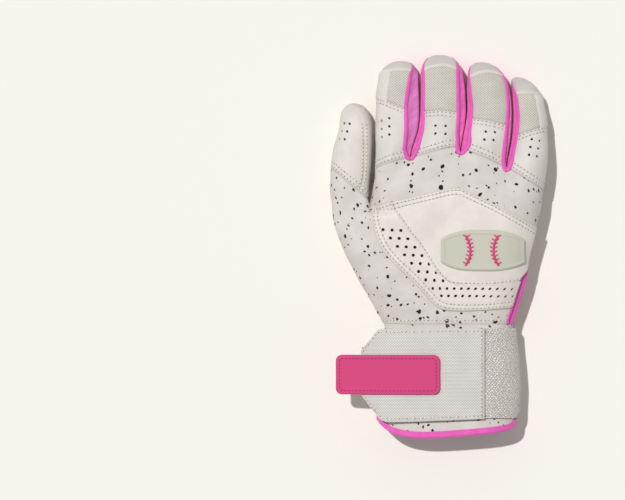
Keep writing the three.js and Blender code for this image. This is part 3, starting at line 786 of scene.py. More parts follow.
@dataclass(frozen=True)
class Finish:
    """One surface finish: its colours, gloss and pattern."""

    name: str
    colour: Colour
    rough: float
    pattern: Pattern
    slot: str
    accent: Colour = (30, 29, 36)
    depth: float = 0.1
    sheen: float = 0.0
    # Colour that the finish turns to beside sewn edges in place of the painted shade: painted sheen on the
    # pink sidewalls, a painted highlight on the tip leather
    edge: Colour | None = None

    # Painted shade beside sewn edges and stitch rows: the shares of the colour that it darkens toward, and
    # its strength
    SEAM_SHADE = (0.74, 0.70, 0.68)
    SEAM_SHARE = 0.42
    WEAR = 0.07

    def material(self) -> bpy.types.Material:
        """The finish's material, made on first use.

        Returns:
            The material.
        """
        made = bpy.data.materials.get(self.name)
        if made:
            return made
        g = Graph(self.name)
        g.use("Sheen Weight", self.sheen)
        g.use("Sheen Roughness", 0.5)
        base, high = getattr(self, "_" + self.pattern.value)(g)
        # Painted light from the seam attribute: painted shade darkens the colour beside sewn edges and stitch
        # rows; a finish with an edge colour turns to it there, as painted sheen on the sidewalls and a
        # painted highlight on the tip leather
        near = g.ramp(g.seam(), 0.15, 1.0)
        if self.edge:
            g.use("Base Color", g.blend(near, base, linear(self.edge)))
        else:
            shade = tuple(int(c * k) for c, k in zip(self.colour, self.SEAM_SHADE))
            g.use("Base Color", g.blend(g.math("MULTIPLY", near, self.SEAM_SHARE), base, linear(shade)))
        wear = g.noise(scale=0.35, detail=4)
        g.use("Roughness", g.spread(wear, 0.3, 0.7, self.rough - self.WEAR, self.rough + self.WEAR))
        g.bump(high, self.depth)
        return g.material

    def tone(self, g: Graph, amount: float, cloth: Socket | None = None) -> Socket:
        """The colour with soft lighter and darker clouds."""
        clouds = g.ramp(g.noise(scale=0.06, detail=4, cloth=cloth), 0.3, 0.7)
        return g.blend(clouds, toned(self.colour, 1 - amount), toned(self.colour, 1 + amount * 0.6))

    def _grain(self, g: Graph) -> Dressing:
        """Leather: pebbled grain, fine creases and clouded colour.

        Args:
            g: The material.

        Returns:
            Colour and height.
        """
        pebbles = g.cells(scale=0.95, feature="SMOOTH_F1")
        creases = g.noise(scale=0.28, detail=5, rough=0.6)
        high = g.math("MULTIPLY_ADD", pebbles, 0.55, g.math("MULTIPLY", creases, 1.2))
        pores = g.ramp(g.cells(scale=1.3), 0.0, 0.25)
        return g.blend(pores, toned(self.colour, 0.93), self.tone(g, 0.03)), high

    def _drops(self, g: Graph, cloth: Socket, cell: float, least: float, most: float, share: float) -> Socket:
        """Sparse irregular drops, as a mask.

        Args:
            g: The material.
            cloth: Cloth coordinates.
            cell: Spacing of the drops.
            least: Smallest radius.
            most: Largest radius.
            share: Share of the cells that hold a drop.

        Returns:
            A mask, 1 inside a drop.
        """
        moved = g.wobble(cloth, scale=0.2, detail=1, by=3.0)
        far = g.cells(1 / cell, cloth=moved, voronoi_dimensions="2D")
        red, green = g.split(g.cells(1 / cell, "Color", moved, voronoi_dimensions="2D"))
        size = g.spread(red, 0.0, 1.0, least / cell, most / cell)
        inside = g.ramp(g.math("SUBTRACT", size, far), -0.012, 0.02)
        return g.math("MULTIPLY", inside, g.math("LESS_THAN", green, share))

    def _speckled(self, g: Graph) -> Dressing:
        """Stretch knit with dark drops.

        Args:
            g: The material.

        Returns:
            Colour and height.
        """
        big = self._drops(g, g.cloth, cell=9.6, least=0.55, most=1.35, share=0.85)
        aside = g.move("ADD", g.cloth, (37.0, 11.0, 0.0))
        small = self._drops(g, aside, cell=6.6, least=0.3, most=0.88, share=0.6)
        base = g.blend(g.math("MAXIMUM", big, small), self.tone(g, 0.035), linear(self.accent))
        swell = g.noise(scale=0.2, detail=4)
        return base, g.math("MULTIPLY_ADD", g.knit(row=0.55, loop=0.8), 0.25, swell)

    def _lattice(self, g: Graph) -> Dressing:
        """Finger mesh: crossed diagonal ribs over a darker ground.

        Args:
            g: The material.

        Returns:
            Colour and height.
        """
        u, v = g.split(g.cloth)
        waves = [g.math("ABSOLUTE", g.wave(g.math(how, u, v), 3.4)) for how in ("ADD", "SUBTRACT")]
        weave = g.math("MAXIMUM", *(g.ramp(wave, 0.5, 0.95) for wave in waves))
        return g.blend(weave, linear(self.accent), self.tone(g, 0.03)), weave

    def _bricks(self, g: Graph, cloth: Socket, pitch: float, row: float, low: float, high: float) -> Dressing:
        """Staggered floats of thread.

        Args:
            g: The material.
            cloth: Cloth coordinates.
            pitch: Spacing of the floats along a row.
            row: Spacing of the rows.
            low: Height where the gaps between floats end.
            high: Height where the floats are full.

        Returns:
            The colour and the height.
        """
        u, v = g.split(cloth)
        level = g.math("DIVIDE", v, row)
        odd = g.math("MODULO", g.math("FLOOR", level), 2.0)
        way = g.math("MULTIPLY_ADD", u, 2 * math.pi / pitch, g.math("MULTIPLY", odd, math.pi))
        along = g.math("MULTIPLY_ADD", g.math("COSINE", way), 0.5, 0.5)
        across = g.math("ABSOLUTE", g.wave(level, 2.0))
        weave = g.ramp(g.math("MULTIPLY", along, across), low, high)
        return g.blend(weave, linear(self.accent), self.tone(g, 0.03, cloth)), weave

    def _twill(self, g: Graph) -> Dressing:
        """Woven elastic: small staggered floats."""
        return self._bricks(g, g.cloth, pitch=1.6, row=0.82, low=-0.1, high=0.55)

    def _coarse(self, g: Graph) -> Dressing:
        """Coarse knit: uneven staggered loops with small dark gaps."""
        moved = g.wobble(g.cloth, scale=0.5, detail=2, by=2.4)
        return self._bricks(g, moved, pitch=1.8, row=1.0, low=-0.02, high=0.4)

    def _stretch(self, g: Graph) -> Dressing:
        """Fine stretch fabric.

        Args:
            g: The material.

        Returns:
            Colour and height.
        """
        folds = g.noise(scale=0.3, cloth=g.move("MULTIPLY", g.cloth, (1.0, 0.25, 1.0)))
        base = g.blend(g.ramp(folds, 0.38, 0.7), self.tone(g, 0.05), linear(self.accent))
        return base, g.math("MULTIPLY_ADD", g.knit(row=0.6, loop=0.75), 0.3, folds)

    def _moulded(self, g: Graph) -> Dressing:
        """Moulded rubber or coated sheet: fine leathery skin."""
        skin = g.cells(scale=1.7, feature="SMOOTH_F1")
        return self.tone(g, 0.045), g.math("MULTIPLY_ADD", skin, 0.4, g.noise(scale=0.18))

    def _pile(self, g: Graph) -> Dressing:
        """Hook or loop pile: close tufts.

        Args:
            g: The material.

        Returns:
            Colour and height.
        """
        tufts = g.cells(scale=1.1, feature="SMOOTH_F1")
        high = g.math("ADD", g.math("SUBTRACT", 1.0, tufts), g.noise(scale=2.4))
        return g.blend(g.ramp(tufts, 0.15, 0.6), self.tone(g, 0.06), linear(self.accent)), high

    def _plain(self, g: Graph) -> Dressing:
        """Thread, the painted shade of needle holes and the painted shade behind vent holes: slight clouding.
        """
        return self.tone(g, 0.06), g.noise(scale=2.0, detail=2)


LEATHER_WHITE = Finish("leather_white", (224, 218, 211), 0.56, Pattern.GRAIN, "leather")
LEATHER_SMOOTH = Finish("leather_smooth", (233, 225, 217), 0.52, Pattern.GRAIN, "leather", depth=0.06)
# The tip leather turns to a lighter edge colour along its seams: a painted highlight
LEATHER_TIP = Finish("leather_tip", (206, 201, 196), 0.56, Pattern.GRAIN, "leather", edge=(226, 222, 214))
PATCH_WHITE = Finish("patch_white", (229, 224, 218), 0.5, Pattern.GRAIN, "patch", depth=0.12)
SPECKLED = Finish("speckled_knit", (222, 215, 209), 0.82, Pattern.SPECKLED, "speckled_fabric", (11, 11, 18),
                  0.09, 0.1)
FINGER_MESH = Finish("finger_mesh", (224, 219, 209), 0.72, Pattern.LATTICE, "mesh_fabric", (170, 163, 150),
                     0.2)
PINK = Finish("pink_stretch", (245, 98, 196), 0.62, Pattern.STRETCH, "pink_fabric", (230, 92, 184), 0.12, 0.2)
# Copies of the pink stretch toned for the light on the sidewalls: a paler, duller middle that is painted
# sheen and shade, turning at the sewn edges to bright pink, a painted sheen; the narrow walls get a brighter
# copy
SIDEWALL_PAINTED_SHEEN_AND_SHADE = Finish("pink_sidewall_painted_sheen_and_shade", (233, 137, 205), 0.66, Pattern.STRETCH, "pink_fabric", (221, 115, 192),
                  0.12, 0.2, (250, 98, 202))
SIDEWALL_NARROW_PAINTED_SHEEN = Finish("pink_sidewall_narrow_painted_sheen", (242, 110, 194), 0.66, Pattern.STRETCH, "pink_fabric",
                      (230, 96, 182), 0.12, 0.2, (250, 98, 202))
BADGE_RUBBER = Finish("badge_rubber", (207, 205, 192), 0.5, Pattern.MOULDED, "badge_rubber", depth=0.06)
BADGE_PINK = Finish("badge_pink", (226, 62, 128), 0.42, Pattern.MOULDED, "tab_rubber", depth=0.05)
TAB_RUBBER = Finish("tab_rubber", (219, 68, 128), 0.46, Pattern.MOULDED, "tab_rubber", depth=0.06)
WOVEN = Finish("woven_elastic", (247, 242, 237), 0.85, Pattern.TWILL, "woven", (200, 195, 189), 0.2, 0.1)
KNIT_BAND = Finish("knitted_band", (244, 238, 231), 0.88, Pattern.COARSE, "woven", (184, 176, 167), 0.28, 0.1)
PILE = Finish("fastener_pile", (214, 210, 204), 0.95, Pattern.PILE, "pile", (176, 171, 164), 0.4)
FOAM = Finish("palm_foam", (232, 228, 221), 0.95, Pattern.PILE, "foam", (214, 209, 201), 0.1)
THREAD = Finish("white_thread", (232, 228, 221), 0.7, Pattern.PLAIN, "leather", depth=0.05)
PINK_THREAD = Finish("pink_thread", (240, 106, 182), 0.6, Pattern.PLAIN, "pink_fabric", depth=0.05)
RED_THREAD = Finish("tab_thread", (186, 44, 98), 0.6, Pattern.PLAIN, "tab_rubber", depth=0.05)
# Dark dots between the stitches: painted shade of the needle holes
NEEDLE_HOLE_SHADE = Finish("painted_needle_hole_shade", (170, 161, 151), 0.9, Pattern.PLAIN, "leather", depth=0.02)
KNIT_REVERSE = Finish("knit_reverse", (220, 213, 207), 0.85, Pattern.STRETCH, "speckled_fabric",
                      (216, 209, 202))
# Near-black discs behind the vent holes: painted shade for the dark inside of the glove
LINING = Finish("dark_lining", (26, 24, 25), 0.95, Pattern.PLAIN, "leather", depth=0.02)


# Making meshes

low_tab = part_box("tab_front")[0]
SHIFT = np.array([low_tab.x / MM - TAB_FROM, low_tab.y / MM - TAB_LOW, 0.0])


def to_frame(points: Array) -> Array:
    """Drawing points in millimetres as row-frame points in metres."""
    return (points + SHIFT) * MM


def place(x: float, y: float, z: float = 0.0) -> Place:
    """One drawing point in the row frame."""
    return tuple(float(v) for v in to_frame(np.array([x, y, z])))


def only(obj: Obj) -> None:
    """Makes obj the one selected, active object.

    Args:
        obj: The object.
    """
    bpy.ops.object.select_all(action="DESELECT")
    obj.select_set(True)
    bpy.context.view_layer.objects.active = obj


def set_cloth(mesh: bpy.types.Mesh, cloth: Array, seam: Array) -> None:
    """Writes the cloth coordinates and the strength of the painted seam shade to a mesh.

    Args:
        mesh: The mesh.
        cloth: Cloth coordinates of its points.
        seam: Strength of the painted seam shade at its points.
    """
    layer = mesh.uv_layers[0] if mesh.uv_layers else mesh.uv_layers.new(name="Cloth")
    corner = np.zeros(len(mesh.loops), np.int32)
    mesh.loops.foreach_get("vertex_index", corner)
    layer.uv.foreach_set("vector", cloth[corner].astype(np.float32).ravel())
    near = mesh.attributes.new("seam", "FLOAT", "POINT")
    near.data.foreach_set("value", seam.astype(np.float32))


def mesh_object(name: str, points: Array, faces: Sequence, cloth: Array, seam: Array | None = None) -> Obj:
    """Object from drawing points and faces.

    Args:
        name: Its name.
        points: Its points.
        faces: Point numbers of its faces.
        cloth: Cloth coordinates of the points.
        seam: Strength of the painted seam shade at the points.

    Returns:
        The object.
    """
    mesh = bpy.data.meshes.new(name)
    mesh.from_pydata(to_frame(points).tolist(), [], [list(map(int, f)) for f in faces])
    mesh.update()
    set_cloth(mesh, cloth, np.zeros(len(points)) if seam is None else seam)
    obj = bpy.data.objects.new(name, mesh)
    bpy.context.scene.collection.objects.link(obj)
    return obj


def join(first: Obj, *others: Obj) -> Obj:
    """Joins objects into the first one.

    Args:
        first: Object that stays.
        others: Objects that go into it.

    Returns:
        The first object.
    """
    only(first)
    for other in others:
        other.select_set(True)
    bpy.ops.object.join()
    return first


def edit_mesh(obj: Obj, work: Callable[..., object], **settings: object) -> None:
    """Runs one mesh operator on all of an object.

    Args:
        obj: The object.
        work: The operator.
        settings: Its settings.
    """
    only(obj)
    bpy.ops.object.mode_set(mode="EDIT")
    bpy.ops.mesh.select_all(action="SELECT")
    work(**settings)
    bpy.ops.object.mode_set(mode="OBJECT")


def unit(ways: Array) -> Array:
    """Ways of length 1."""
    return ways / np.maximum(np.linalg.norm(ways, axis=1, keepdims=True), 1e-9)


def runs(path: Array) -> Array:
    """Length along a path at each of its points."""
    return np.cumsum(np.linalg.norm(np.diff(path, axis=0, prepend=path[:1]), axis=1))


def follow(path: Array, values: Array, at: Array) -> Array:
    """Values that go with a path's points, at lengths along it."""
    return np.stack([np.interp(at, runs(path), column) for column in values.T], axis=1)


@dataclass(frozen=True)
class Edge:
    """How one edge of a panel is sewn: how far it sinks, over what run, and its stitch rows.

    The seam's painted shade (painted sheen on the pink sidewalls, a painted highlight on the tip leather) has
    a strength (dark), a reach, and a level part that comes before the reach.
    """

    dip: float = 0.0
    run: float = 2.4
    rows: tuple[float, ...] = ()
    dark: float = 1.0
    reach: float = 0.9
    level: float = 0.0


EDGES = ("left", "right", "low", "high")
CROSSWISE = ("low", "high")


def around(edge: Edge) -> dict[str, Edge]:
    """The same sewing on all four edges."""
    return {name: edge for name in EDGES}


@dataclass(frozen=True)
class Hole:
    """A punched vent hole at a plan point."""

    x: float
    y: float
    radius: float


@dataclass
class Panel:
    """A pattern piece laid on the form."""

    name: str
    surface: Surface
    finish: Finish
    offset: float = 0.0
    thick: float = LEATHER
    edges: dict[str, Edge] = field(default_factory=dict)
    holes: Sequence[Hole] = ()
    ripple: float = 0.12
    extra: Array | None = None
    fade: Array | float = 1.0
    reverse: Finish | None = None

    BITE, BITE_WIDE = 0.22, 0.65
    PUCKER, PUCKER_PITCH, PUCKER_WIDE = 0.07, 4.4, 2.6
    # Painted shade along the stitch rows: its strength and half width
    ROW_SHADE, ROW_SHADE_WIDE = 0.3, 0.5
    ROW_ROOM = 2.5
    HOLE_SIDES, HOLE_CLEAR, HOLE_INSIDE = 14, 0.3, 0.97
    # How far out and how deep the painted-shade discs sit behind the vent holes
    LINING_SPREAD, LINING_DEEP = 1.35, 0.9
    WELD = 0.02
    # Way, phase and share of each wave in the ripples
    RIPPLES = (((0.31, 0.12, 0.2), 0.0, 1.0), ((0.13, -0.27, 0.0), 1.3, 1.0),
               ((0.55, 0.4, -0.3), 0.7, 0.6), ((0.0, 0.21, 0.62), 0.0, 0.5))

    def lift(self) -> Array:
        """Height of every grid point over the form: seams sink, stitch rows bite, leather ripples.

        Returns:
            The heights.
        """
        up = np.full(self.surface.shape, self.offset, float)
        far = self.surface.from_edges()
        for name, edge in self.edges.items():
            up -= edge.dip * (1 - rise(far[name] / edge.run)) * self.fade
            for row in edge.rows:
                up -= self.BITE * ridge(far[name], row, self.BITE_WIDE)
            if edge.rows:
                run = self.surface.cloth[..., 0 if name in CROSSWISE else 1]
                pucker = np.sin(run * 2 * np.pi / self.PUCKER_PITCH)
                up += self.PUCKER * pucker * ridge(far[name], edge.rows[-1], self.PUCKER_WIDE)
        waves = [share * np.sin(self.surface.points @ way + phase) for way, phase, share in self.RIPPLES]
        up += self.ripple * sum(waves) / 2
        return up if self.extra is None else up + self.extra

    def seam(self) -> Array:
        """Strength of the painted seam light at every grid point: painted shade beside sewn edges and along
        stitch rows, which the pink sidewalls and tip leather turn into painted sheen and a painted highlight.

        Returns:
            1 at a seam, 0 far from it.
        """
        near = np.zeros(self.surface.shape)
        far = self.surface.from_edges()
        # Painted shade that fades away from each sewn edge, and lines of it along the stitch rows
        for name, edge in self.edges.items():
            shade = edge.dark * np.exp(-np.maximum(0, far[name] - edge.level) / edge.reach)
            near = np.maximum(near, shade * self.fade)
            for row in edge.rows:
                near = np.maximum(near, self.ROW_SHADE * ridge(far[name], row, self.ROW_SHADE_WIDE))
        return near

    def skin(self) -> Array:
        """Outer points of the panel."""
        return self.surface.points + self.surface.normals * self.lift()[..., None]

    def build(self) -> Obj:
        """Makes the panel's object with its thickness and finish.

        Returns:
            The object.
        """
        obj = self.cut() if self.holes else self.drape()
        self.face_out(obj)
        obj.data.materials.append(self.finish.material())
        if self.reverse:
            obj.data.materials.append(self.reverse.material())
        self.thicken(obj)
        # Dark discs behind the vent holes: painted shade
        if self.holes:
            join(obj, self.vent_shade_discs())
        return obj

    def thicken(self, obj: Obj) -> None:
        """Gives the panel's sheet its thickness, inward, and smooths its softer edges.

        Args:
            obj: The sheet.
        """
        only(obj)
        bpy.ops.object.modifier_add(type="SOLIDIFY")
        wall = obj.modifiers[-1]
        wall.thickness = self.thick * MM
        wall.offset = -1.0
        wall.material_offset = int(self.reverse is not None)
        bpy.ops.object.modifier_apply(modifier=wall.name)
        bpy.ops.object.shade_smooth_by_angle(angle=SOFT_ANGLE)

    def face_out(self, obj: Obj) -> None:
        """Turns a sheet's faces to the outside of the panel.

        Args:
            obj: The sheet.
        """
        mean = sum(np.array(polygon.normal) * polygon.area for polygon in obj.data.polygons)
        if mean @ np.sum(self.surface.normals, axis=(0, 1)) < 0:
            obj.data.flip_normals()

    def drape(self) -> Obj:
        """A grid primitive with its points laid on the form.

        Returns:
            The object.
        """
        rows, columns = self.surface.shape
        bpy.ops.mesh.primitive_grid_add(x_subdivisions=columns - 1, y_subdivisions=rows - 1, size=2)
        obj = bpy.context.object
        obj.name = obj.data.name = self.name
        at = np.zeros(len(obj.data.vertices) * 3)
        obj.data.vertices.foreach_get("co", at)
        at = at.reshape(-1, 3)
        i = np.rint((at[:, 0] + 1) / 2 * (columns - 1)).astype(int)
        j = np.rint((at[:, 1] + 1) / 2 * (rows - 1)).astype(int)
        obj.data.vertices.foreach_set("co", to_frame(self.skin()[j, i]).ravel())
        obj.data.update()
        set_cloth(obj.data, self.surface.cloth[j, i], self.seam()[j, i])
        if self.surface.closed:
            edit_mesh(obj, bpy.ops.mesh.remove_doubles, threshold=self.WELD * MM)
        return obj

    def rings(self) -> list[tuple[Array, Array, float, float]]:
        """Each hole's rim in grid places, with its middle.

        Returns:
            Places across and along the rim, then those of the middle.
        """
        made = []
        turn = np.linspace(0, 2 * np.pi, self.HOLE_SIDES, endpoint=False)
        p = self.surface.points
        for hole in self.holes:
            i, j = self.surface.find(hole.x, hole.y)
            a, b = int(np.clip(i, 1, p.shape[1] - 2)), int(np.clip(j, 1, p.shape[0] - 2))
            wide = hole.radius / (np.linalg.norm(p[b, a + 1] - p[b, a - 1]) / 2)
            tall = hole.radius / (np.linalg.norm(p[b + 1, a] - p[b - 1, a]) / 2)
            made.append((i + wide * np.cos(turn), j + tall * np.sin(turn), i, j))
        return made

    def cut(self) -> Obj:
        """The panel as triangles, with its holes punched through.

        Returns:
            The object.
        """
        rows, columns = self.surface.shape
        gi, gj = (g.ravel().astype(float) for g in np.meshgrid(np.arange(columns), np.arange(rows)))
        rings = self.rings()
        keep = np.ones(len(gi), bool)
        for ri, rj, i, j in rings:
            wide, tall = np.ptp(ri) / 2 + self.HOLE_CLEAR, np.ptp(rj) / 2 + self.HOLE_CLEAR
            keep &= ((gi - i) / wide) ** 2 + ((gj - j) / tall) ** 2 > 1
        places = [np.stack([gi[keep], gj[keep]], axis=1)]
        edges, count = [], int(keep.sum())
        for ri, rj, _, _ in rings:
            n = len(ri)
            places.append(np.stack([ri, rj], axis=1))
            edges += [(count + k, count + (k + 1) % n) for k in range(n)]
            count += n
        at = np.concatenate(places)
        got = delaunay_2d_cdt([Vector(p) for p in at], edges, [], 0, 1e-6)
        at = np.array([tuple(p) for p in got[0]])
        middles = np.array([at[list(face)].mean(0) for face in got[2]])
        solid = np.ones(len(middles), bool)
        for ri, rj, i, j in rings:
            far = (middles - (i, j)) / (np.ptp(ri), np.ptp(rj))
            solid &= np.sum(far**2, axis=1) >= self.HOLE_INSIDE / 4
        faces = [got[2][k] for k in np.flatnonzero(solid)]
        return mesh_object(self.name, sample(self.skin(), *at.T), faces, sample(self.surface.cloth, *at.T),
                           sample(self.seam(), *at.T))

    def vent_shade_discs(self) -> Obj:
        """Dark discs behind the vent holes: painted shade for the dark inside of the glove.

        Returns:
            The discs in one object.
        """
        points = []
        normals = self.surface.normals
        for ri, rj, i, j in self.rings():
            at = i + (ri - i) * self.LINING_SPREAD, j + (rj - j) * self.LINING_SPREAD
            points.append(sample(self.skin(), *at) - sample(normals, *at) * (self.thick * self.LINING_DEEP))
        every = np.concatenate(points)
        faces = np.arange(len(every)).reshape(-1, self.HOLE_SIDES)
        obj = mesh_object(self.name + "_lining", every, faces, every[:, :2])
        self.face_out(obj)
        obj.data.materials.append(LINING.material())
        return obj

    def rows(self) -> list["Row"]:
        """The stitch rows along the panel's edges.

        Returns:
            The rows.
        """
        made = []
        skin, normals = self.skin(), self.surface.normals
        far = self.surface.from_edges()
        for name, edge in self.edges.items():
            lanes = far[name].T if name in CROSSWISE else far[name]
            steps = np.arange(lanes.shape[1])
            if name in ("right", "high"):
                lanes, steps = lanes[:, ::-1], steps[::-1]
            for row in edge.rows:
                fits = np.flatnonzero(np.max(lanes, axis=1) > row + self.ROW_ROOM)
                if len(fits):
                    across = [np.interp(row, lanes[k], steps) for k in fits]
                    at = (fits, across) if name in CROSSWISE else (across, fits)
                    made.append(Row(sample(skin, *at), sample(normals, *at)))
        return made

    def row_on(self, plan: Array) -> "Row":
        """A stitch row through plan points on the panel."""
        at = np.array([self.surface.find(x, y) for x, y in plan])
        return Row(sample(self.skin(), *at.T), sample(self.surface.normals, *at.T))

    def trace(self, points: Sequence[Point], closed: bool = False) -> "Row":
        """A stitch row along a smooth curve through plan points."""
        ends = [*points, points[0]] if closed else points
        return self.row_on(spline(ends, np.linspace(0, 1, 40 * len(ends))))


@dataclass
class Row:
    """A line of sewing on a panel, with the way out of the panel at each point."""

    points: Array
    normals: Array

    def spots(self, pitch: float) -> tuple[Array, Array, Array]:
        """Evenly spaced places along the row.

        Args:
            pitch: Wanted spacing.

        Returns:
            Places, ways along and ways out.
        """
        end = runs(self.points)[-1]
        count = max(int(end / pitch), 1)
        at = (np.arange(count) + 0.5) * end / count
        behind, p, ahead = (follow(self.points, self.points, at + by) for by in (-0.4, 0.0, 0.4))
        a = unit(ahead - behind)
        n = follow(self.points, self.normals, at)
        return p, a, unit(n - a * np.sum(a * n, axis=1, keepdims=True))


@dataclass
class Sewing:
    """Rows of thread in one object: stitches with dark dots between them, the painted shade of the needle
    holes.
    """

    name: str
    thread: Finish = THREAD
    pitch: float = 2.4
    long: float = 1.6
    radius: float = 0.42
    # Whether to add the painted needle-hole shade between the stitches
    holes: bool = True
    rows: list[Row] = field(default_factory=list)

    BLUNT = 0.7
    # Size of the painted needle-hole shade dots, and how far stitches and dots stand out
    HOLE_SHADE_SIZE = (0.6, 1.2, 0.5)
    STITCH_UP, HOLE_UP = 0.08, -0.05
    CLOTH_STEP = 3.1

    def stitch(self) -> tuple[Array, Array]:
        """One stitch: a low round-ended bar along X, as points and triangles.

        Returns:
            Points and triangles.
        """
        along_x = (0, math.pi / 2, 0)
        bpy.ops.mesh.primitive_uv_sphere_add(segments=6, ring_count=4, radius=1.0, rotation=along_x)
        ball = bpy.context.object
        bpy.ops.object.transform_apply(rotation=True)
        ball.data.calc_loop_triangles()
        points = np.array([v.co[:] for v in ball.data.vertices])
        faces = np.array([t.vertices[:] for t in ball.data.loop_triangles])
        bpy.data.objects.remove(ball)
        points[:, 0] = np.sign(points[:, 0]) * np.abs(points[:, 0]) ** self.BLUNT * self.long / 2
        points[:, 1:] *= self.radius
        return points, faces

    def build(self) -> Obj:
        """Makes the object from all its rows.

        Returns:
            The object.
        """
        shape, triangles = self.stitch()
        points, faces, kinds, cloth = [], [], [], []
        count = 0
        for row in self.rows:
            # Stitches, then dark dots of painted needle-hole shade halfway between them
            for is_hole_shade in (False, True) if self.holes else (False,):
                p, a, n = row.spots(self.pitch)
                spot = np.arange(len(p))[:, None]
                bar = shape * self.HOLE_SHADE_SIZE if is_hole_shade else shape
                middle = p + n * (self.HOLE_UP if is_hole_shade else self.STITCH_UP)
                if is_hole_shade:
                    middle += a * (self.pitch / 2)
                axes = np.stack([a, np.cross(n, a), n], axis=1)
                points.append((middle[:, None] + bar @ axes).reshape(-1, 3))
                faces.append((triangles + (count + spot[..., None] * len(shape))).reshape(-1, 3))
                kinds.append(np.full(len(p) * len(triangles), is_hole_shade))
                run = bar[:, 0] + self.CLOTH_STEP * spot
                cloth.append(np.stack(np.broadcast_arrays(run, bar[:, 1]), axis=2).reshape(-1, 2))
                count += len(p) * len(shape)
        obj = mesh_object(self.name, np.concatenate(points), np.concatenate(faces), np.concatenate(cloth))
        obj.data.materials.append(self.thread.material())
        if self.holes:
            obj.data.materials.append(NEEDLE_HOLE_SHADE.material())
            obj.data.polygons.foreach_set("material_index", np.concatenate(kinds).astype(np.int32))
        only(obj)
        bpy.ops.object.shade_smooth()
        return obj


def tube(name: str, path: Array, radius: Array, tilt: Array, finish: Finish) -> Obj:
    """A flattened cord along a path, closed at both ends.

    Args:
        name: Name of the piece.
        path: Points along its middle.
        radius: Half width at each point.
        tilt: Turn of the flat section about the path.
        finish: Its finish.

    Returns:
        The finished object.
    """
    along = unit(np.gradient(path, axis=0))
    out = unit(np.cross(along, np.array([0.0, 0.0, 1.0])))
    up = np.cross(out, along)
    c, s = np.cos(tilt)[:, None], np.sin(tilt)[:, None]
    out, up = c * out + s * up, CORD_FLAT * (c * up - s * out)
    turn = np.arange(CORD_SIDES) * 2 * np.pi / CORD_SIDES
    ring = np.cos(turn)[None, :, None] * out[:, None] + np.sin(turn)[None, :, None] * up[:, None]
    points = (path[:, None] + ring * radius[:, None, None]).reshape(-1, 3)
    grid = np.arange(len(points)).reshape(-1, CORD_SIDES)
    beside = np.roll(grid, -1, axis=1)
    faces = np.stack([grid[:-1], beside[:-1], beside[1:], grid[1:]], axis=2).reshape(-1, 4).tolist()
    faces += [grid[0, ::-1], grid[-1]]
    cloth = np.broadcast_arrays(np.arange(CORD_SIDES) * CORD_STEP, runs(path)[:, None])
    obj = mesh_object(name, points, faces, np.stack(cloth, axis=2).reshape(-1, 2))
    obj.data.materials.append(finish.material())
    edit_mesh(obj, bpy.ops.mesh.normals_make_consistent, inside=False)
    bpy.ops.object.shade_smooth()
    return obj


def settle(obj: Obj, finish: Finish, body: str, *nodes: str,
           across: tuple[Place, Place] | None = None) -> Obj:
    """Puts a piece in place of its solids, on its body unless it crosses a joint, and reports it.

    Args:
        obj: The piece.
        finish: Its finish; not used.
        body: Body that it moves with, unless it crosses a joint; the report names it.
        nodes: Solids that it stands for.
        across: Start and end of the joint that it crosses; only whether it is given is read, and then its
            transform goes into its mesh and it goes on no body.

    Returns:
        The piece.
    """
    if nodes:
        obj.name = obj.data.name = nodes[0] + "_piece"
        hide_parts(*nodes)
    if across:
        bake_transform(obj)
    else:
        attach(obj, body)
    log.info("%s: %d faces on %s", obj.name, len(obj.data.polygons), body)
    return obj


# Fingers


@dataclass(frozen=True)
class Vents:
    """A block of vent holes: its first hole, the step to the next column and row, and the counts."""

    first: Point
    column: Point
    row: Point
    columns: int
    rows: int
    radius: float = 0.85

    def holes(self) -> list[Hole]:
        """Every hole of the block."""
        steps = np.array([(c, r) for c in range(self.columns) for r in range(self.rows)])
        return [Hole(*at, self.radius) for at in (self.first + steps @ (self.column, self.row)).tolist()]


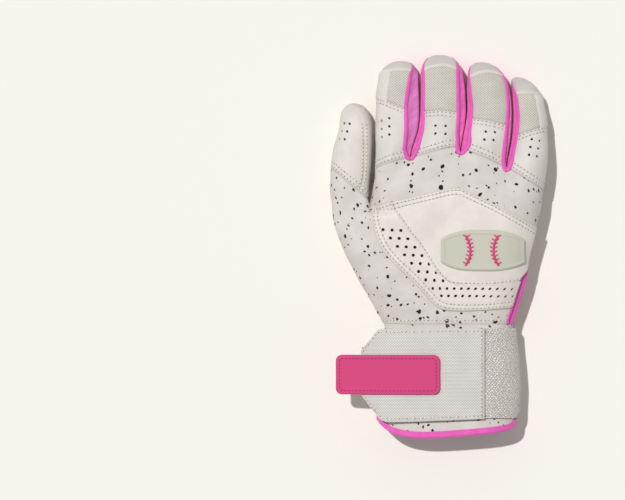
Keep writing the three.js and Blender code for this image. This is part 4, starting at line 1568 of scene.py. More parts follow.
@dataclass
class Finger:
    """One finger: front leather, pink sidewall, knuckle panel, mesh panel and tip cap."""

    digit: Digit
    vents: Vents
    mesh_low: Line
    bend_from: float
    front_vents: tuple[Point, ...]
    arch: float
    strip: float = 0.0
    bend_run: float = 22.0
    bend_level: float = 20.0
    palm_wall: float = 2.8
    bulge: float = 0.3

    OUTER_CLOSE = 0.55
    PINCH, PINCH_FROM, PINCH_TO = 0.35, 0.45, 0.85
    PALM_LAP, PALM_LAP_RUN = 0.2, 1.5
    FRONT_VENT = 0.62
    WALL_STEPS, TIP_STEPS, WALL_ROWS, WALL_THICK = 50, 37, 25, 0.8
    OUTER_TURN = 0.12
    WALL_LAP, TIP_LAP = 0.04, 0.12
    HEEL_AT, SHOULDER_AT, MOST_DROP = 0.2, 0.45, 0.45
    SAG, SAG_AT, SAG_WIDE = 0.8, 0.7, 0.14
    # Face of each piping, how far over the cap it ends, and its half widths at both ends
    PIPINGS = ((1, 0.86, 1.5, 1.1), (-1, 0.731, 0.8, 0.8))
    PALM_PIPING_LOWER = 0.5
    # Place along the finger and depth of each bending crease
    CREASES = ((-14, 0.22), (-4.2, 0.3), (0, 0.42), (3.6, 0.3), (8.5, 0.2))

    @property
    def body(self) -> str:
        """Name of the moving body."""
        return self.digit.name + "_finger"

    def over_tip(self, which: int, y: Array) -> Array:
        """0 along the finger, 1 at its tip."""
        d = self.digit
        return smooth(d.start + (0 if d.walls[which] else self.OUTER_CLOSE * d.cap), d.tip, y)

    def back_share(self, which: int, y: Array) -> Array:
        """Share of the half width where the back leather ends and the sidewall starts."""
        side = 1 - self.wall(which, y) / self.digit.half if self.digit.walls[which] else np.ones(np.shape(y))
        return mix(side, 1.0, self.over_tip(which, y))

    def low(self, which: int, lows: Sequence[float] = FORK_LOWS) -> float:
        """Lowest point of the sidewall at the fork on one side, on the back or on the palm."""
        return lows[FINGERS.index(self.digit) - (0 if which else 1)]

    def wall(self, which: int, y: Array) -> Array:
        """Width of the sidewall seen from above, with a round end at the fork."""
        up = (y - self.low(which)) / FORK_RUN
        return self.digit.walls[which](y) * np.clip(up, 0, 1) ** FORK_BOW

    def palm_share(self, which: int, y: Array) -> Array:
        """Share of the half width where the front leather ends; below the fork it meets its neighbour.

        Args:
            which: Side: 0 thumb, 1 little finger.
            y: Places along.

        Returns:
            The shares.
        """
        inset = self.palm_wall / self.digit.half
        if not self.digit.walls[which]:
            return 1 - inset * self.over_tip(which, y)
        if None in self.digit.walls:
            over = (y - self.digit.start) / self.digit.cap
            inset = inset * (1 - self.PINCH * smooth(self.PINCH_FROM, self.PINCH_TO, over))
        up = y - self.low(which, PALM_LOWS)
        lap = self.PALM_LAP / self.digit.half * (1 - smooth(0, self.PALM_LAP_RUN, up))
        return 1 - inset * np.clip(up / PALM_RUN, 0, 1) ** FORK_BOW + lap

    def back(self, low: Line, high: Line, rows: int, up: Line = even) -> Surface:
        """Grid on the back of the finger between two lines."""
        sides = [self.digit.edge(k, self.back_share) for k in (0, 1)]
        return Surface.on(self.digit, Side.BACK, cut_field(*sides, low, high, 30, rows, self.digit.ease, up))

    def stations(self) -> tuple[Array, Array, Array, Array]:
        """Places up one straight side, over the tip and down the other.

        Returns:
            Base y, share toward the tip, share toward the side and side number of every place.
        """
        d = self.digit
        parts = []
        up = np.linspace(0, 1, self.WALL_STEPS, endpoint=False)
        if d.walls[0]:
            y = mix(self.low(0), d.start, up)
            parts.append((y, 0 * y, 0 * y - 1, 0 * y))
        ends = (1.0 if d.walls[0] else 1 - self.OUTER_TURN, 0.0 if d.walls[1] else self.OUTER_TURN)
        turn = np.pi * np.linspace(*ends, self.TIP_STEPS)
        c, s = np.cos(turn), np.abs(np.sin(turn))
        aside = np.sign(c) * np.abs(c) ** (2 / ROUND)
        parts.append((0 * c + d.start, s ** (2 / ROUND), aside, (c > 0) * 1.0))
        if d.walls[1]:
            y = mix(self.low(1), d.start, up)[::-1]
            parts.append((y, 0 * y, 0 * y + 1, 0 * y + 1))
        return tuple(np.concatenate(column) for column in zip(*parts))

    def gusset(self) -> Panel:
        """The sidewall, boxed out so that it meets its neighbour, and round over the tip.

        Returns:
            The panel.
        """
        d = self.digit
        way, ahead, along, which = self.stations()

        def edge_angle(share: Share) -> Array:
            """Angle over the side at which a panel with that side line ends.

            Args:
                share: The panel's share of the half width.

            Returns:
                The angles.
            """
            out = np.ones(len(way))
            for _ in range(30):
                y = way + d.cap * ahead * out
                out = np.where(which == 1, share(1, y), share(0, y))
            return np.arccos(np.clip(out, 0, 0.9995) ** (ROUND / 2))

        def at(angle: Array) -> Array:
            """Points of the round section at an angle over its side.

            Args:
                angle: Angles over the side.

            Returns:
                The points.
            """
            out = np.cos(angle) ** (2 / ROUND)
            y = way + d.cap * ahead * out
            px, a, _ = d.place(y)
            x = px + a * along * out
            return np.stack([x, y, d.height(x, y, np.where(angle >= 0, 1, -1))], axis=-1)

        v = np.linspace(0, 1, self.WALL_ROWS)[:, None]
        lower = edge_angle(self.palm_share) + self.WALL_LAP + self.TIP_LAP * ahead
        section = at(mix(-lower, edge_angle(self.back_share) + self.WALL_LAP, v))
        outward = np.stack([along, ahead, 0 * along], axis=1)
        side = at(np.zeros(len(way))) + self.bulge * outward
        box = self.box(section[0], section[-1], side, v[..., None])
        points = mix(box, section, smooth(0.05, 0.7, ahead)[None, :, None])
        slack = 0.7 + 0.3 * np.sin(0.45 * (way + d.cap * ahead) + 9 * v)
        sag = -self.SAG * ridge(v, self.SAG_AT, self.SAG_WIDE) * slack * (1 - smooth(0.0, 0.5, ahead))
        # Toward both sewn edges the sidewall turns bright pink against its paler middle: painted sheen
        sewn = Edge(0.2, 1.2, reach=0.8, level=1.2)
        finish = SIDEWALL_PAINTED_SHEEN_AND_SHADE if d.name == "index" else SIDEWALL_NARROW_PAINTED_SHEEN
        return Panel(f"{d.name}_gusset", Surface(points, outward[None]), finish, offset=-0.25,
                     thick=self.WALL_THICK, edges={"low": sewn, "high": sewn}, ripple=0.04, extra=sag)

    def box(self, palm: Array, back: Array, side: Array, w: Array) -> Array:
        """Boxed section of the sidewall: out from both leathers, then straight up the side.

        Args:
            palm: Points on the edge of the front leather.
            back: Points on the edge of the back leather.
            side: Points out at the side.
            w: Shares of the way from palm to back.

        Returns:
            One row of points for each share, slightly rounded.
        """
        most = self.MOST_DROP * (back - palm)[:, 2]

        def corner(end: Array, sign: int, slope: float, least: float) -> Array:
            """Corner of the box beside an edge, a little up or down from it."""
            drop = slope * np.linalg.norm((end - side)[:, :2], axis=1) + least
            return np.column_stack([side[:, :2], end[:, 2] + sign * np.minimum(drop, most)])

        shoulder, heel = corner(back, -1, 0.3, 1.3), corner(palm, 1, 0.5, 1.4)
        wall = mix(heel, shoulder, (w - self.HEEL_AT) / (self.SHOULDER_AT - self.HEEL_AT))
        upper = mix(shoulder, back, (w - self.SHOULDER_AT) / (1 - self.SHOULDER_AT))
        box = np.where(w < self.HEEL_AT, mix(palm, heel, w / self.HEEL_AT),
                       np.where(w < self.SHOULDER_AT, wall, upper))
        for _ in range(2):
            box[1:-1] = (box[:-2] + 2 * box[1:-1] + box[2:]) / 4
        return box

    def pipings(self) -> Obj:
        """Rolled pink edges along the back and front leathers, beside the sidewalls.

        Returns:
            The pipings in one object.
        """
        d = self.digit
        t = np.linspace(0, 1, 110)
        thin = 1 - 0.75 * smooth(0.86, 1, t)
        made = []
        for which in (k for k in (0, 1) if d.walls[k]):
            lows = (self.low(which), self.low(which, PALM_LOWS) - self.PALM_PIPING_LOWER)
            shares = (self.back_share, self.palm_share)
            for (side, over, *widths), low, share in zip(self.PIPINGS, lows, shares):
                y = mix(low, d.start + over * d.cap, t**1.15)
                x = d.edge(which, share)(y)
                path = np.stack([x, y, d.height(x, y, side) + 0.05 * side], axis=1)
                slope = (d.height(x + 0.4, y, side) - d.height(x - 0.4, y, side)) / 0.8
                tilt = np.arctan(np.clip(slope, -1.2, 1.2))
                made.append(tube(f"{d.name}_piping", path, mix(*widths, t) * thin, tilt, PINK))
        return join(*made)

    def creases(self, surface: Surface) -> Array:
        """Bending creases across the front leather at the middle joint and above the fork.

        Args:
            surface: The panel's surface.

        Returns:
            Heights to add.
        """
        x, y = surface.plan
        d = self.digit
        joint = mix(d.root, d.tip, 0.45)
        up = np.zeros(surface.shape)
        for k, (off, deep) in enumerate(self.CREASES):
            line = joint + off + 0.9 * np.sin(0.24 * x + 1.9 * k) + 0.02 * (x - d.place(y)[0]) ** 2
            up -= deep * ridge(y, line, 0.75) * (0.65 + 0.35 * np.sin(0.33 * x + 2.3 * k))
        return up

    def side_strip(self) -> Panel:
        """Front leather that laps round onto the back beside the mesh.

        Returns:
            The panel.
        """
        d = self.digit
        which = 0 if self.strip > 0 else 1
        outer = d.edge(which)
        inner = shift(outer, self.strip)
        sides = (outer, inner) if which == 0 else (inner, outer)
        plan = cut_field(*sides, shift(self.mesh_low, -1.2), flat(d.mesh_high - 0.5), 12, 36, rounded)
        end = Edge(0.5, 1.5, dark=0.4)
        edges = {"right" if which == 0 else "left": Edge(0.45, 1.6, dark=0.5), "low": end, "high": end}
        surface = Surface.on(d, Side.BACK, plan)
        return Panel(f"{d.name}_side_strip", surface, LEATHER_WHITE, offset=0.5, edges=edges, ripple=0.05)

    def backs(self) -> tuple[Panel, Panel, Panel]:
        """The knuckle panel, the mesh and the tip cap.

        Returns:
            The three panels.
        """
        d = self.digit

        def arch(x: Array) -> Array:
            """Arched seam between mesh and tip cap."""
            return d.mesh_high - self.arch * (x - d.middle) ** 2

        side, bare = Edge(0.25, 1.6, dark=0.8), Edge(0.25, 1.6, dark=0.0)
        sides = {"left": side, "right": side}
        sewn = {**sides, "low": Edge(0.5, 1.8, (1.7, 4.3)), "high": Edge(0.1, 1.5, (1.2, 3.4))}
        surface = self.back(knuckle_seam, self.mesh_low, 34)
        holes = self.vents.holes()
        knuckle = Panel(f"{d.name}_knuckle_panel", surface, LEATHER_WHITE, edges=sewn, holes=holes,
                        ripple=0.1)
        mesh = Panel(f"{d.name}_mesh", self.back(self.mesh_low, arch, 26), FINGER_MESH, thick=1.1,
                     edges={**sides, "low": Edge(0.75, 1.6), "high": Edge(0.45, 1.8)}, ripple=0.1)
        end = flat(d.start + d.cap * NEARLY_ALL)
        # The cap's lower edge gets the tip leather's lighter edge colour, a painted highlight along the seam
        # with the mesh; its bare sides get none
        cap = Panel(f"{d.name}_tip_cap", self.back(arch, end, 24, rounded_end), LEATHER_TIP,
                    edges={"left": bare, "right": bare, "low": Edge(-0.5, 2.0, reach=0.3, level=1.5)},
                    ripple=0.1)
        return knuckle, mesh, cap

    def front(self) -> Panel:
        """The front leather, up to where its two side lines meet at the tip.

        Returns:
            The panel.
        """
        d = self.digit
        sides = [d.edge(k, self.palm_share) for k in (0, 1)]
        over = np.linspace(0, 1, 400)
        shares = [self.palm_share(k, d.start + d.cap * over) for k in (0, 1)]
        end = d.start + d.cap * float(np.max(over[np.maximum(*shares) > over])) * 0.9995
        plan = cut_field(*sides, finger_fold, flat(end), 30, 60, d.ease, rounded_end)
        surface = Surface.on(d, Side.PALM, plan)
        x, y = surface.plan
        lows = [self.low(k, PALM_LOWS) if d.walls[k] else -np.inf for k in (0, 1)]
        above_fork = smooth(0, 5, y - np.where(x < d.place(y)[0], *lows))
        side = Edge(0.25, 1.6, dark=0.8)
        holes = [Hole(*at, self.FRONT_VENT) for at in self.front_vents]
        return Panel(f"{d.name}_front", surface, LEATHER_WHITE,
                     edges={"left": side, "right": side, "high": side}, holes=holes, ripple=0.3,
                     extra=self.creases(surface), fade=above_fork)

    def build(self) -> None:
        """Makes the finger's pieces, which cross the joint at the hand and so go on no body."""
        d = self.digit
        knuckle, mesh, cap = self.backs()
        panels = [knuckle, mesh, cap, self.front(), self.gusset()]
        strips = [self.side_strip()] if self.strip else []
        sewing = Sewing(f"{d.name}_stitching", rows=[r for p in (knuckle, cap, *strips) for r in p.rows()])
        across = tuple(place(d.middle, self.bend_from + run, self.bend_level) for run in (0, self.bend_run))
        for panel in panels:
            settle(panel.build(), panel.finish, self.body, panel.name, across=across)
        for panel in strips:
            settle(panel.build(), panel.finish, self.body, across=across)
        settle(sewing.build(), THREAD, self.body, across=across)
        settle(self.pipings(), PINK, self.body, across=across)


@dataclass
class Thumb:
    """The thumb: front and back leathers that meet at its sides, and a sewn fold at its inner side."""

    vents: Vents = Vents((-55.5, 192.4), (-3.3, 0.3), (-1.5, -4.8), 2, 3)
    end: float = 204.9998
    rows_end: float = 192.0
    fold_up: Place = (0.5, 5.5, 3.0)
    fold_down: Place = (0.7, 10.4, 0.8)
    bend_from: Place = (-56.0, 156.5, 14.0)
    bend_way: Place = (0.632, 0.775, 0.0)
    bend_run: float = 16.0

    def lay(self, side: Side, low: Line) -> Surface:
        """Grid of one face, from a lower line to the tip."""
        lines = [THUMB.edge(k) for k in (0, 1)]
        return Surface.on(THUMB, side, cut_field(*lines, low, flat(self.end), 34, 52, rounded, rounded_end))

    def build(self) -> None:
        """Makes the thumb's pieces, which cross the joint at the slanted seam and so go on no body."""
        side = Edge(0.3, 2.0, dark=0.7)
        # The folded inner side darkens over a wide band: painted shade where the side turns away from the
        # light
        folded = Edge(0.3, 2.0, (9.0, 11.9), dark=0.6, reach=2.0, level=8.0)
        edges = {"left": side, "right": folded, "low": Edge(0.5, 1.8, (1.7, 4.3))}
        back = Panel("thumb_back", self.lay(Side.BACK, thumb_seam), LEATHER_WHITE, edges=edges,
                     holes=self.vents.holes(), ripple=0.18)
        far = back.surface.from_edges()["right"]
        below_tip = 1 - smooth(self.rows_end - 6, self.rows_end + 3, back.surface.plan[1])
        rolls = [high * ridge(far, at, wide) for high, at, wide in (self.fold_up, self.fold_down)]
        back.extra = (rolls[0] - rolls[1]) * below_tip
        front = Panel("thumb_front", self.lay(Side.PALM, flat(THUMB_FOLD)), LEATHER_WHITE,
                      edges={"left": side, "right": side}, ripple=0.3)
        rows = [(row, row.points[:, 1] < self.rows_end) for row in back.rows()]
        sewing = Sewing("thumb_stitching", rows=[Row(row.points[on], row.normals[on]) for row, on in rows])
        way = np.array(self.bend_way)
        across = tuple(place(*(self.bend_from + way * run)) for run in (0, self.bend_run))
        for panel in (back, front):
            settle(panel.build(), panel.finish, "thumb", panel.name, across=across)
        settle(sewing.build(), THREAD, "thumb", across=across)


# Hand


def gusset_lens(y: Array) -> Array:
    """Share of the wrist insert's width, closing toward its top."""
    return 1 - smooth(INSERT_CLOSE, INSERT_TOP, y)


def back_edge(y: Array) -> Array:
    """Where the back fabric ends at the little-finger side."""
    return little_side(y) - BACK_INSERT * gusset_lens(y)


def palm_lens(y: Array) -> Array:
    """Share of the wrist insert's width at the palm side, a crescent."""
    return gusset_lens(y) * (1 - 0.8 * smooth(86, 101, y))


def palm_edge(y: Array) -> Array:
    """Where the palm leather ends at the little-finger side."""
    return little_side(y) - PALM_INSERT * palm_lens(y)


def crease_edge(lap: float) -> Line:
    """Inner edge of a thumb-base piece: past the thumb crease by a lap, then the thumb's inner side."""
    return lambda y: np.where(y < THUMB_FORK + 1, index_side(y) + lap, thumb_inner(y))


@dataclass
class HandBack:
    """Back of the hand: stretch fabric, the perforated band, the plain centre panel and the badge."""

    laid_on: float = 1.6
    badge_at: Point = (25.0, 114.5)
    badge_size: Point = (50.0, 25.0)
    badge_thick: float = 1.4
    badge_blunt: float = 1.12
    ball_radius: float = 15.5
    ball_apart: float = 22.5
    ball_arc: float = 0.62
    lace_leans: Point = (-2.0, 2.0)
    lace_up: float = 1.3
    band_outer: tuple[Point, ...] = (
        (-41.6, 141.4), (-41.4, 133.6), (-40, 125.5), (-36.8, 117), (-31.5, 109.6), (-24.5, 102.5),
        (-16.9, 95.3), (-9.2, 87.1), (-1.8, 79.8), (7, 77.6), (24, 77.8), (43.4, 79.6))
    band_inner: tuple[Point, ...] = (
        (-31.0, 143.9), (-27.5, 137), (-23.6, 131.6), (-19.6, 125.8), (-14.7, 119.7), (-10.4, 113.8),
        (-6, 106.6), (-0.6, 99.4), (4.9, 94.6), (12.5, 93.3), (32, 93.3), (48.6, 96))
    vents: tuple[Vents, ...] = (
        Vents((-35, 127.2), (5.3, -0.25), (4.3, -5.1), 3, 7, 1.0),
        Vents((-4.9, 91.4), (4.35, -0.03), (0, 0), 12, 1, 0.9),
        Vents((0.4, 86.9), (4.3, -0.03), (0, 0), 11, 1, 0.9))

    INNER_CORNER = 8
    SEWN_TWICE = Edge(0.7, 1.6, (1.7, 4.2))

    @staticmethod
    def notched(x: Array) -> Array:
        """The knuckle seam, notched round the pink end at each fork.

        Args:
            x: Places across.

        Returns:
            y of the seam.
        """
        top = knuckle_seam(x)
        for k, (gap, low) in enumerate(zip(GAPS, FORK_LOWS)):
            d = x - gap(np.full(np.shape(x), low))
            full = np.where(d < 0, FINGERS[k].walls[1](low + 3), FINGERS[k + 1].walls[0](low + 3))
            out = np.maximum(0, np.abs(d) - 0.2) / full
            top = np.minimum(top, low + FORK_RUN * out ** (1 / FORK_BOW))
        return top

    def fabric(self) -> list[Panel]:
        """The two speckled pieces, which meet along the thumb crease.

        Returns:
            The two panels.
        """
        top, low = Edge(0.5, 2.2, dark=0.9), Edge(0.4, 2.0, (2.2,), dark=0.6)
        start = flat(CUFF_TOP)
        plan = cut_field(index_side, back_edge, start, self.notched, 150, 96, rounded)
        back = Panel("back_knit", Surface.on(HAND, Side.BACK, plan), SPECKLED, thick=KNIT,
                     edges={"high": top, "low": low}, ripple=0.28)
        plan = cut_field(thumb_side, crease_edge(0.0), start, thumb_seam, 44, 84, rounded)
        thumb = Panel("thumb_knit", Surface.on(THUMB, Side.BACK, plan), SPECKLED, thick=KNIT,
                      edges={"left": Edge(0.3, 2.0, dark=0.6), "high": top, "low": low}, ripple=0.28)
        return [back, thumb]

    def band(self) -> Panel:
        """The perforated band that sweeps from the thumb side round to the little-finger side.

        Returns:
            The panel.
        """
        u = np.linspace(0, 1, 170)
        v = np.linspace(0, 1, 20)[:, None, None]
        plan = mix(spline(self.band_outer, u)[None], spline(self.band_inner, u)[None], v)
        surface = Surface.on(HAND, Side.BACK, (plan[..., 0], plan[..., 1]))
        holes = [hole for block in self.vents for hole in block.holes()]
        edges = {"low": self.SEWN_TWICE, "left": self.SEWN_TWICE, "right": Edge(0.7, 1.6)}
        return Panel("back_vent_band", surface, LEATHER_SMOOTH, offset=self.laid_on, edges=edges, holes=holes)

    def centre(self) -> Panel:
        """The plain leather inside the band.

        Returns:
            The panel.
        """
        turn = self.INNER_CORNER
        left = shift(Knots(*((y, x) for x, y in self.band_inner[turn::-1])), -0.5)
        low = shift(Knots(*self.band_inner[turn:]), -0.5)
        plan = cut_field(left, shift(back_edge, -1), low, panel_top, 64, 48, rounded_end)
        inner = Edge(0.3, 1.6, (2.0,))
        edges = {"high": self.SEWN_TWICE, "left": inner, "low": inner, "right": Edge(0.6, 2.0)}
        surface = Surface.on(HAND, Side.BACK, plan)
        up = self.laid_on + 0.2
        return Panel("back_centre_panel", surface, LEATHER_SMOOTH, offset=up, edges=edges, ripple=0.16)

    def badge_outline(self, x: Array) -> Array:
        """Half height of the badge at x."""
        t = self.badge_blunt - np.abs(x - self.badge_at[0]) / (self.badge_size[0] / 2)
        return self.badge_size[1] / 2 * rise(t)

    def badge(self) -> Obj:
        """Moulded plate with a raised rim and two sewn-ball seams in relief.

        Returns:
            The badge in one object.
        """
        x0, y0 = self.badge_at
        half = self.badge_size[0] / 2
        plan = cut_field(flat(x0 - half), flat(x0 + half), lambda x: y0 - self.badge_outline(x),
                         lambda x: y0 + self.badge_outline(x), 90, 46, rounded)
        surface = Surface.on(HAND, Side.BACK, plan)
        far = np.minimum.reduce(list(surface.from_edges().values()))
        rim = 0.45 * ridge(far, 1.7, 0.7) - 0.9 * (1 - rise(far))
        plate = Panel("back_badge", surface, BADGE_RUBBER, offset=self.laid_on + 0.3 + self.badge_thick,
                      thick=self.badge_thick, ripple=0.0, extra=rim)
        turn = np.linspace(-self.ball_arc, self.ball_arc, 9)
        aside, up = self.ball_apart - self.ball_radius * np.cos(turn), self.ball_radius * np.sin(turn)
        seams = [np.column_stack([x0 + sign * aside, y0 + up]) for sign in (-1, 1)]
        obj = plate.build()
        cords = Sewing("badge_seams", BADGE_PINK, pitch=1.0, long=1.7, radius=0.8, holes=False,
                       rows=[plate.trace(s) for s in seams])
        laces = Sewing("badge_laces", BADGE_PINK, pitch=1.0, long=1.7, radius=0.5, holes=False,
                       rows=self.laces(plate, seams))
        return join(obj, cords.build(), laces.build())

    def laces(self, plate: Panel, seams: Sequence[Array]) -> list[Row]:
        """Short slanted stitches across each seam of the motif."""
        spots = np.concatenate([spline(seam, np.linspace(0.06, 0.94, 8)) for seam in seams])
        return [plate.trace([at, at + (lean, self.lace_up)]) for at in spots for lean in self.lace_leans]

    def build(self) -> None:
        """Makes the pieces of the back."""
        fabric, band, centre = self.fabric(), self.band(), self.centre()
        sewing = Sewing("back_stitching", rows=band.rows() + centre.rows())
        hem_rows = Sewing("wrist_seam_stitching", rows=[r for p in fabric for r in p.rows()])
        for panel in (*fabric, band, centre):
            settle(panel.build(), panel.finish, "hand", panel.name)
        settle(self.badge(), BADGE_RUBBER, "hand", "back_badge")
        settle(sewing.build(), THREAD, "hand")
        settle(hem_rows.build(), THREAD, "hand")
        self.insert()

    def insert(self) -> None:
        """Pink wrist insert at the little-finger side, with a fold down its middle."""
        y = mix(CUFF_TOP, INSERT_TOP, np.linspace(0, 1, 50)[None])
        s = np.linspace(-1, 1, 21)[:, None]
        wide = np.where(s > 0, (BACK_INSERT + 0.3) * gusset_lens(y), (PALM_INSERT + 0.2) * palm_lens(y))
        x = little_side(y) - wide * s * s
        y = np.broadcast_to(y, x.shape)
        z = HAND.height(x, y, np.broadcast_to(np.where(s >= 0, 1, -1), x.shape))
        surface = Surface(np.stack([x, y, z], axis=2), np.array([1.0, 0, 0]))
        fold = 0.5 - 1.7 * ridge(s, 0.72, 0.1)
        edge = Edge(0.2, 1.2, dark=0.2)
        panel = Panel("wrist_gusset", surface, PINK, offset=0.35, thick=0.8,
                      edges={"low": edge, "high": edge}, ripple=0.05, extra=fold)
        settle(panel.build(), PINK, "hand", panel.name)


@dataclass
class HandPalm:
    """Palm leather, with a thin foam and a quilted patch sewn on it."""

    patch_low: float = 97.0
    patch_on: float = 3.0
    patch_side: float = -3.0
    foam_inset: float = 9.0
    corner_top: float = 87.0
    quilt_outer: tuple[Point, ...] = (
        (-17.2, 158), (1.2, 158.3), (19.6, 156.8), (38, 155), (49.1, 153.1), (51.5, 149.4), (53.4, 140.8),
        (54, 131.6), (53.4, 122.4), (50.3, 107.7), (48.5, 107.1), (38, 108.6), (27, 108.6), (25.2, 111.4),
        (19.6, 118.1), (13.5, 123.6), (4.3, 129.8), (-4.9, 135.9), (-16.6, 141.4))
    quilt_inner: tuple[Point, ...] = (
        (-2.5, 148.2), (-1.8, 147), (13.5, 139), (24.5, 131.6), (27.6, 127.3), (30.7, 122.4), (33.1, 120.6),
        (42.3, 120.3), (44.2, 128.6), (43.6, 137.8), (42.3, 142.7), (39.9, 143.6), (28.8, 144.8),
        (10.4, 148.8), (4.3, 149.7), (0, 149.4))
    vents: Vents = Vents((38.0, 134.1), (-6.8, 0.6), (0.4, -4.3), 2, 2, 0.6)

    patch_left = staticmethod(Knots((97, 20), (105, 15.3), (113, 10.4), (120.6, 4.3), (126.7, -4.9),
                                    (132.2, -14.1), (139, -27), (163, -29)))
    side_seam = staticmethod(Knots((74.6, -26.4), (85.6, -35), (94.8, -41.7), (107, -47.9), (125.5, -55.2),
                                   (139.6, -60.1), (150, -62.4)))
    corner_side = staticmethod(Knots((66, 0), (71.1, -23.3), (74.6, -26.4), (85.6, -35), (88, -37)))
    patch_top = staticmethod(Knots((-30, 162.4), (-5, 164.4), (35, 161.4), (44, 159.6), (52, 155.5),
                                   (58, 150.5)))

    def leather(self) -> tuple[Obj, list[Row]]:
        """The palm leather and the front of the thumb base, as one piece.

        Returns:
            The piece and its stitch rows.
        """
        start, low = flat(CUFF_TOP), Edge(0.4, 2.0, (2.0, 4.4))
        plan = cut_field(index_side, palm_edge, start, finger_fold, 84, 84, rounded)
        hand = Panel("palm_leather", Surface.on(HAND, Side.PALM, plan), LEATHER_WHITE,
                     edges={"right": Edge(0.3, 2.0, dark=0.5), "low": low}, ripple=0.3)
        plan = cut_field(thumb_side, crease_edge(0.5), start, flat(THUMB_FOLD), 44, 70, rounded)
        thumb = Panel("palm_thumb", Surface.on(THUMB, Side.PALM, plan), LEATHER_WHITE,
                      edges={"left": Edge(0.3, 2.0, dark=0.7), "low": low}, ripple=0.3)
        x, y = thumb.surface.plan
        lap = smooth(-0.2, 0.5, x - index_side(y)) * (y < THUMB_FORK)
        thumb.extra = -0.45 * ridge(x, self.side_seam(y), 0.5) - 0.6 * lap
        return join(hand.build(), thumb.build()), hand.rows() + thumb.rows()

    def corner(self) -> Panel:
        """Speckled corner of the cuff that shows at the thumb side of the palm hem.

        Returns:
            The panel.
        """
        ends = (flat(CUFF_TOP), flat(self.corner_top))
        plan = cut_field(thumb_side, self.corner_side, *ends, 26, 22, rounded_start)
        sewn = Edge(0.4, 1.2, (1.2,))
        return Panel("palm_corner", Surface.on(HAND, Side.PALM, plan), SPECKLED, offset=0.45, thick=KNIT,
                     edges={"right": sewn, "high": sewn}, ripple=0.3)

    def patch_plan(self, inset: float, columns: int, rows: int) -> Surface:
        """Grid of the patch's outline, set in by a length.

        Args:
            inset: How far in.
            columns: Cells across.
            rows: Cells along.

        Returns:
            The grid.
        """
        sides = (shift(self.patch_left, inset), shift(little_side, self.patch_side - inset))
        ends = (flat(self.patch_low + inset), shift(self.patch_top, -inset))
        return Surface.on(HAND, Side.PALM, cut_field(*sides, *ends, columns, rows))

    def patch(self) -> tuple[Panel, list[Row]]:
        """The padded patch, with a groove along its quilting.

        Returns:
            The patch and its quilting rows.
        """
        surface = self.patch_plan(0.0, 96, 72)
        edges, holes = around(Edge(2.0, 3.2, (2.4,))), self.vents.holes()
        patch = Panel("palm_patch", surface, PATCH_WHITE, offset=self.patch_on, edges=edges, holes=holes,
                      ripple=0.1)
        quilt = (self.quilt_outer, self.quilt_inner)
        every = np.concatenate([patch.trace(line, True).points for line in quilt])[::6, :2]
        gap = np.min(np.linalg.norm(surface.points[:, :, None, :2] - every, axis=3), axis=2)
        patch.extra = -0.8 * ridge(gap, 0.0, 1.3) + 0.35 * smooth(0, 8, gap)
        return patch, [patch.trace(line, True) for line in quilt]

    def build(self) -> None:
        """Makes the pieces of the palm."""
        leather, rows = self.leather()
        settle(leather, LEATHER_WHITE, "hand", "palm_leather")
        corner = self.corner()
        settle(corner.build(), SPECKLED, "hand")
        settle(Sewing("palm_stitching", rows=rows + corner.rows()).build(), THREAD, "hand")
        surface = self.patch_plan(self.foam_inset, 30, 30)
        foam = Panel("palm_foam", surface, FOAM, offset=1.4, thick=0.8, edges=around(Edge(0.4, 3.0)),
                     ripple=0.0)
        settle(foam.build(), FOAM, "hand", "palm_foam")
        patch, quilting = self.patch()
        settle(patch.build(), PATCH_WHITE, "hand", "palm_patch")
        settle(Sewing("patch_stitching", rows=patch.rows()).build(), THREAD, "hand")
        thread = Sewing("palm_quilting", PINK_THREAD, pitch=2.3, long=2.3, radius=0.38, holes=False,
                        rows=quilting)
        settle(thread.build(), PINK_THREAD, "hand")


# Wrist and strap


